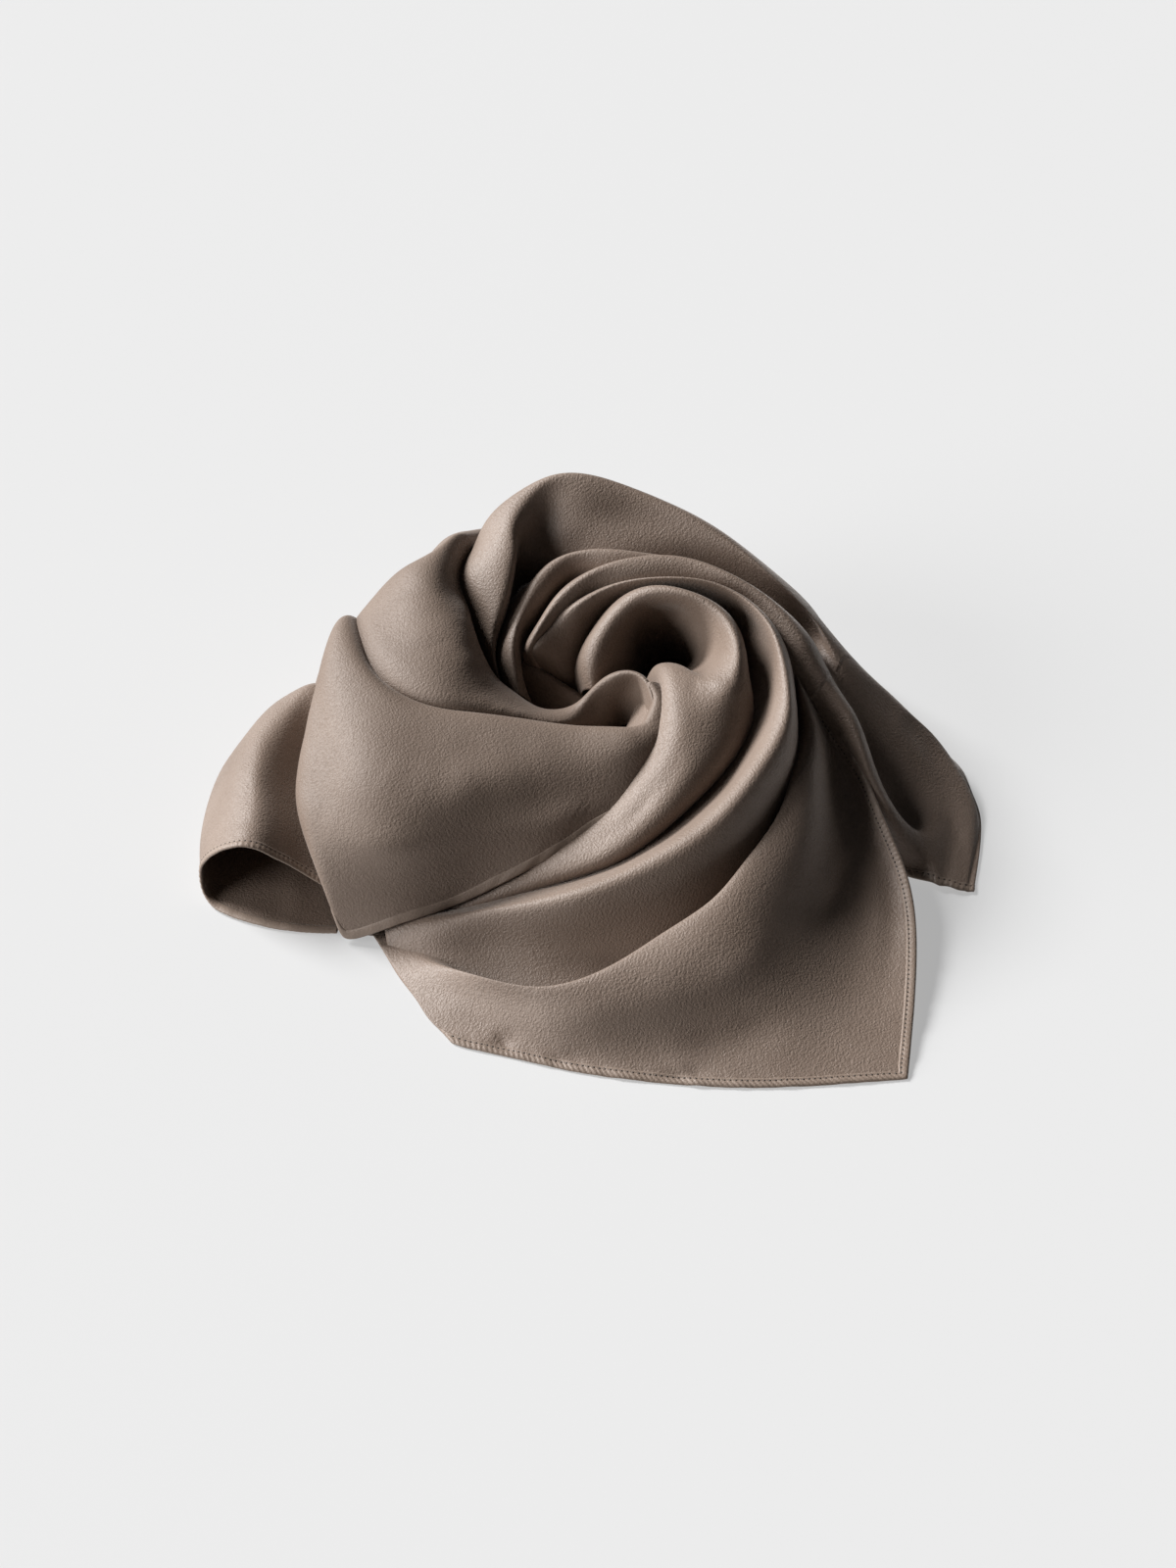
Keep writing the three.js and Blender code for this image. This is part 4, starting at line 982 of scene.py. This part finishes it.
# %% The shape of a stitch
def capsule(length, width, height):
    """One stitch: a short rounded bar with six sides, thin at its ends."""
    rings = [(-0.5, 0.25), (-0.36, 0.8), (-0.12, 1.0), (0.12, 1.0), (0.36, 0.8), (0.5, 0.25)]
    angles = [math.pi / 3 * k for k in range(6)]
    points = [
        (length * x, width / 2 * r * math.cos(a), height / 2 * r * math.sin(a) - height * 2 * x * x)
        for x, r in rings
        for a in angles
    ]
    faces = [
        (6 * i + k, 6 * i + 6 + k, 6 * i + 6 + (k + 1) % 6, 6 * i + (k + 1) % 6)
        for i in range(5)
        for k in range(6)
    ]
    return np.array(points), faces + [tuple(range(6)), tuple(range(35, 29, -1))]


# The small dark capsule paints the shade where the needle went through the cloth.
BAR, HOLE_SHADE = capsule(1.35, 0.85, 0.42), capsule(0.4, 0.35, 0.16)
print("points on a stitch:", len(BAR[0]))

# %% Sew the stitches
STITCH_IN, GROOVE = 3.0, 0.26


def sew(name, cloth, side):
    """A stitch at each pitch along an edge, and a dark dot of painted shade halfway between stitches."""
    at, find = edge_frame(cloth, side, step=STITCH_PITCH / 2)
    middle, above = find(STITCH_IN, GROOVE), find(STITCH_IN, GROOVE + 1)
    vertices, faces, kinds = [], [], []
    total = 0
    for k in range(1, len(at) - 1):
        along = middle[k + 1] - middle[k - 1]
        along /= np.linalg.norm(along)
        up = (above[k] - middle[k]) / MM
        across = np.cross(up, along)
        across /= np.linalg.norm(across)
        up = np.cross(along, across)
        # Every other place gets the dark capsule, sunk a little: painted shade where the needle went
        # through.
        shape, its_faces, lift = (*BAR, 0.0) if k % 2 else (*HOLE_SHADE, -0.03)
        turned = along * shape[:, :1] + across * shape[:, 1:2] + up * (shape[:, 2:] + lift)
        vertices.append(middle[k] + turned * MM)
        faces += [tuple(total + v for v in face) for face in its_faces]
        kinds += [0 if k % 2 else 1] * len(its_faces)
        total += len(shape)
    piece = build(name, np.concatenate(vertices), faces, (THREAD_IN_PAINTED_SHADE, NEEDLE_HOLE_SHADE), kinds)
    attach(piece, "root")
    return piece, len(at) // 2


print("stitches every", STITCH_PITCH, "mm,", STITCH_IN, "mm in from the edge")

# %% Hem each edge that shows
for name, side in HEMS.items():
    hem = make_hem(f"{name}_hem", fold[name], side)
    stitches, count = sew(f"{name}_stitches", fold[name], side)
    print(name, "hem with", count, "stitches")

# %% [markdown]
# ## The buried layers
# Down between the folds, more cloth lies than anyone can see. One low rumpled mound stands for
# it, under the lowest cloth all round, so that no gap between two folds shows the bare table. In
# front it runs on as a single layer that lies on the table, in the valley behind the front corner.
# A coarse map of the lowest cloth says how high the mound may be, and spokes are walked outward
# from the middle until there is no room left under the cloth.

# %% How low the cloth comes at each place
CELL, HALF_MAP, NOTHING = 4, 240, 999.0
BARE, HIGHEST, GAP = 14.0, 38.0, 4.5
across_map = 2 * HALF_MAP // CELL
surface = np.concatenate([cloth.points[::6, ::6].reshape(-1, 3) for cloth in fold.values()]) / MM
low = np.full((across_map, across_map), NOTHING)
spots = np.clip(((surface[:, :2] + HALF_MAP) / CELL).astype(int), 0, across_map - 1)
np.minimum.at(low, (spots[:, 0], spots[:, 1]), surface[:, 2])


def lowest(x, y, cells):
    """The lowest cloth over a place, within so many cells of it on each side."""
    i, j = int((x + HALF_MAP) / CELL), int((y + HALF_MAP) / CELL)
    return low[max(i - cells, 0) : i + cells + 1, max(j - cells, 0) : j + cells + 1].min()


def roof(x, y):
    """Height of the mound: a gap below the lowest cloth nearby, and a bare height where none is."""
    near = lowest(x, y, 2)
    return BARE if near == NOTHING else min(HIGHEST, near - GAP)


print("cells under cloth:", int((low < NOTHING).sum()))

# %% How far the mound reaches in each direction
SPOKES, RINGS = 120, 60
NEAREST, FARTHEST = 20, 150
VALLEY_FROM, VALLEY_TO = math.radians(215), math.radians(312)
turn = 2 * math.pi * np.arange(SPOKES) / SPOKES
directions = [(math.cos(angle), math.sin(angle)) for angle in turn]
reach = []
for cos, sin in directions:
    r = NEAREST
    while r < FARTHEST and roof(r * cos, r * sin) > 3:
        r += 2
    reach.append(r)
reach = np.array([min(reach[(k + d) % SPOKES] for d in range(-3, 4)) for k in range(SPOKES)], float)
lying = reach.copy()
for k, (cos, sin) in enumerate(directions):
    for r in range(int(reach[k]), FARTHEST, 2):
        if VALLEY_FROM < turn[k] < VALLEY_TO and 3.5 < lowest(r * cos, r * sin, 1) < NOTHING:
            lying[k] = r
lying = np.array([np.mean([lying[(k + d) % SPOKES] for d in (-1, 0, 1)]) for k in range(SPOKES)])
print("the mound reaches", round(float(reach.min())), "to", round(float(lying.max())), "mm out")

# %% How high the mound is
FLATTEST, SMOOTHINGS = 2.0, 6
radius = lying[:, None] * (np.arange(RINGS) + 1) / RINGS
height = np.full((SPOKES, RINGS), FLATTEST)
for k, (cos, sin) in enumerate(directions):
    for ring, r in enumerate(radius[k]):
        if r <= reach[k]:
            height[k, ring] = max(roof(r * cos, r * sin), FLATTEST)
for _ in range(SMOOTHINGS):
    smooth = (np.roll(height, 1, 0) + np.roll(height, -1, 0)) / 4 + height / 2
    smooth[:, 1:-1] = (smooth[:, 2:] + smooth[:, :-2]) / 4 + smooth[:, 1:-1] / 2
    height = np.minimum(height, smooth)
height -= 1.6 * (1 + np.sin(3 * turn[:, None] + radius / 9) * np.cos(radius / 17 + 2 * turn[:, None]))
height = np.maximum(height, 1.5)
print("the mound is", round(float(height.max())), "mm high")

# %% Make the mound
UNDERSIDE = 0.0002
x, y = radius * np.cos(turn)[:, None], radius * np.sin(turn)[:, None]
top = np.stack([x, y, height], axis=-1) * MM
vertices = [(0, 0, float(height[:, 0].mean()) * MM), *top.reshape(-1, 3).tolist()]
rim_start = len(vertices)
vertices += [(float(a), float(b), UNDERSIDE) for a, b in zip(x[:, -1] * MM, y[:, -1] * MM)]
vertices.append((0, 0, UNDERSIDE))
faces = []
for k in range(SPOKES):
    n = (k + 1) % SPOKES
    a, b = 1 + k * RINGS, 1 + n * RINGS
    faces.append((0, a, b))
    faces += [(a + i, a + i + 1, b + i + 1, b + i) for i in range(RINGS - 1)]
    faces.append((a + RINGS - 1, rim_start + k, rim_start + n, b + RINGS - 1))
    faces.append((len(vertices) - 1, rim_start + n, rim_start + k))
seen_from_above = [point[:2] for point in vertices]
mound = build("buried_layers", vertices, faces, [WRONG_SIDE], weave=seen_from_above)
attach(mound, "root")
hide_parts("core")
print(mound.name, len(faces), "faces")

# %% Area and length of each sheet
def length_of(cloth):
    """How far a cloth runs along its fold, in metres."""
    return float(cloth.lengths()[-1, 0, 0])


for name in single:
    area_of(fold[name])
    length_of(fold[name])
area = sum(area_of(fold[name]) for name in joint)
length_of(fold["hood"]) + length_of(right)

# %% [markdown]
# ## Floor and light
# The scarf lies on plain pale paper. The key lamp stands on the left and a little behind, so the
# crest of each fold is bright and the flank that faces the viewer falls into shade. A weaker lamp,
# in front on the left, opens the shade on the big panels. Both are sun lamps with a wide angle:
# their light is equally strong all over the floor, and their shadows have soft edges.
#
# Strong lamps would turn white paper into pure white. The paper is therefore a mid grey that also
# glows a little, so that it looks pale but its shadows stay light, as in a studio with a lit table.

# %% The floor
FLOOR = 4
paper, _, shader = new_material("pale paper")
shader.inputs["Base Color"].default_value = (0.32, 0.32, 0.32, 1)
shader.inputs["Emission Color"].default_value = (1, 1, 1, 1)
shader.inputs["Emission Strength"].default_value = 0.40
shader.inputs["Roughness"].default_value = 0.8
shader.inputs["Specular IOR Level"].default_value = 0.2
corners = [(-FLOOR, -FLOOR, 0), (FLOOR, -FLOOR, 0), (FLOOR, FLOOR, 0), (-FLOOR, FLOOR, 0)]
floor = build("floor", corners, [(0, 1, 2, 3)], [paper])
print("floor:", 2 * FLOOR, "m square,", paper.name)

# %% The lamps
def sun(name, strength, toward, spread):
    data = bpy.data.lights.new(name, "SUN")
    data.energy = strength
    data.angle = math.radians(spread)
    show(name, data).rotation_euler = Vector(toward).to_track_quat("-Z", "Y").to_euler()


sun("key", 5.7, toward=(0.67, -0.46, -0.58), spread=22)
sun("fill", 2.5, toward=(0.90, 0.30, -0.32), spread=36)
sky = bpy.data.worlds.new("sky")
scene.world = sky
sky.use_nodes = True
sky.node_tree.nodes["Background"].inputs["Color"].default_value = (1, 1, 1, 1)
sky.node_tree.nodes["Background"].inputs["Strength"].default_value = 0.03
scene.view_settings.view_transform = "Standard"
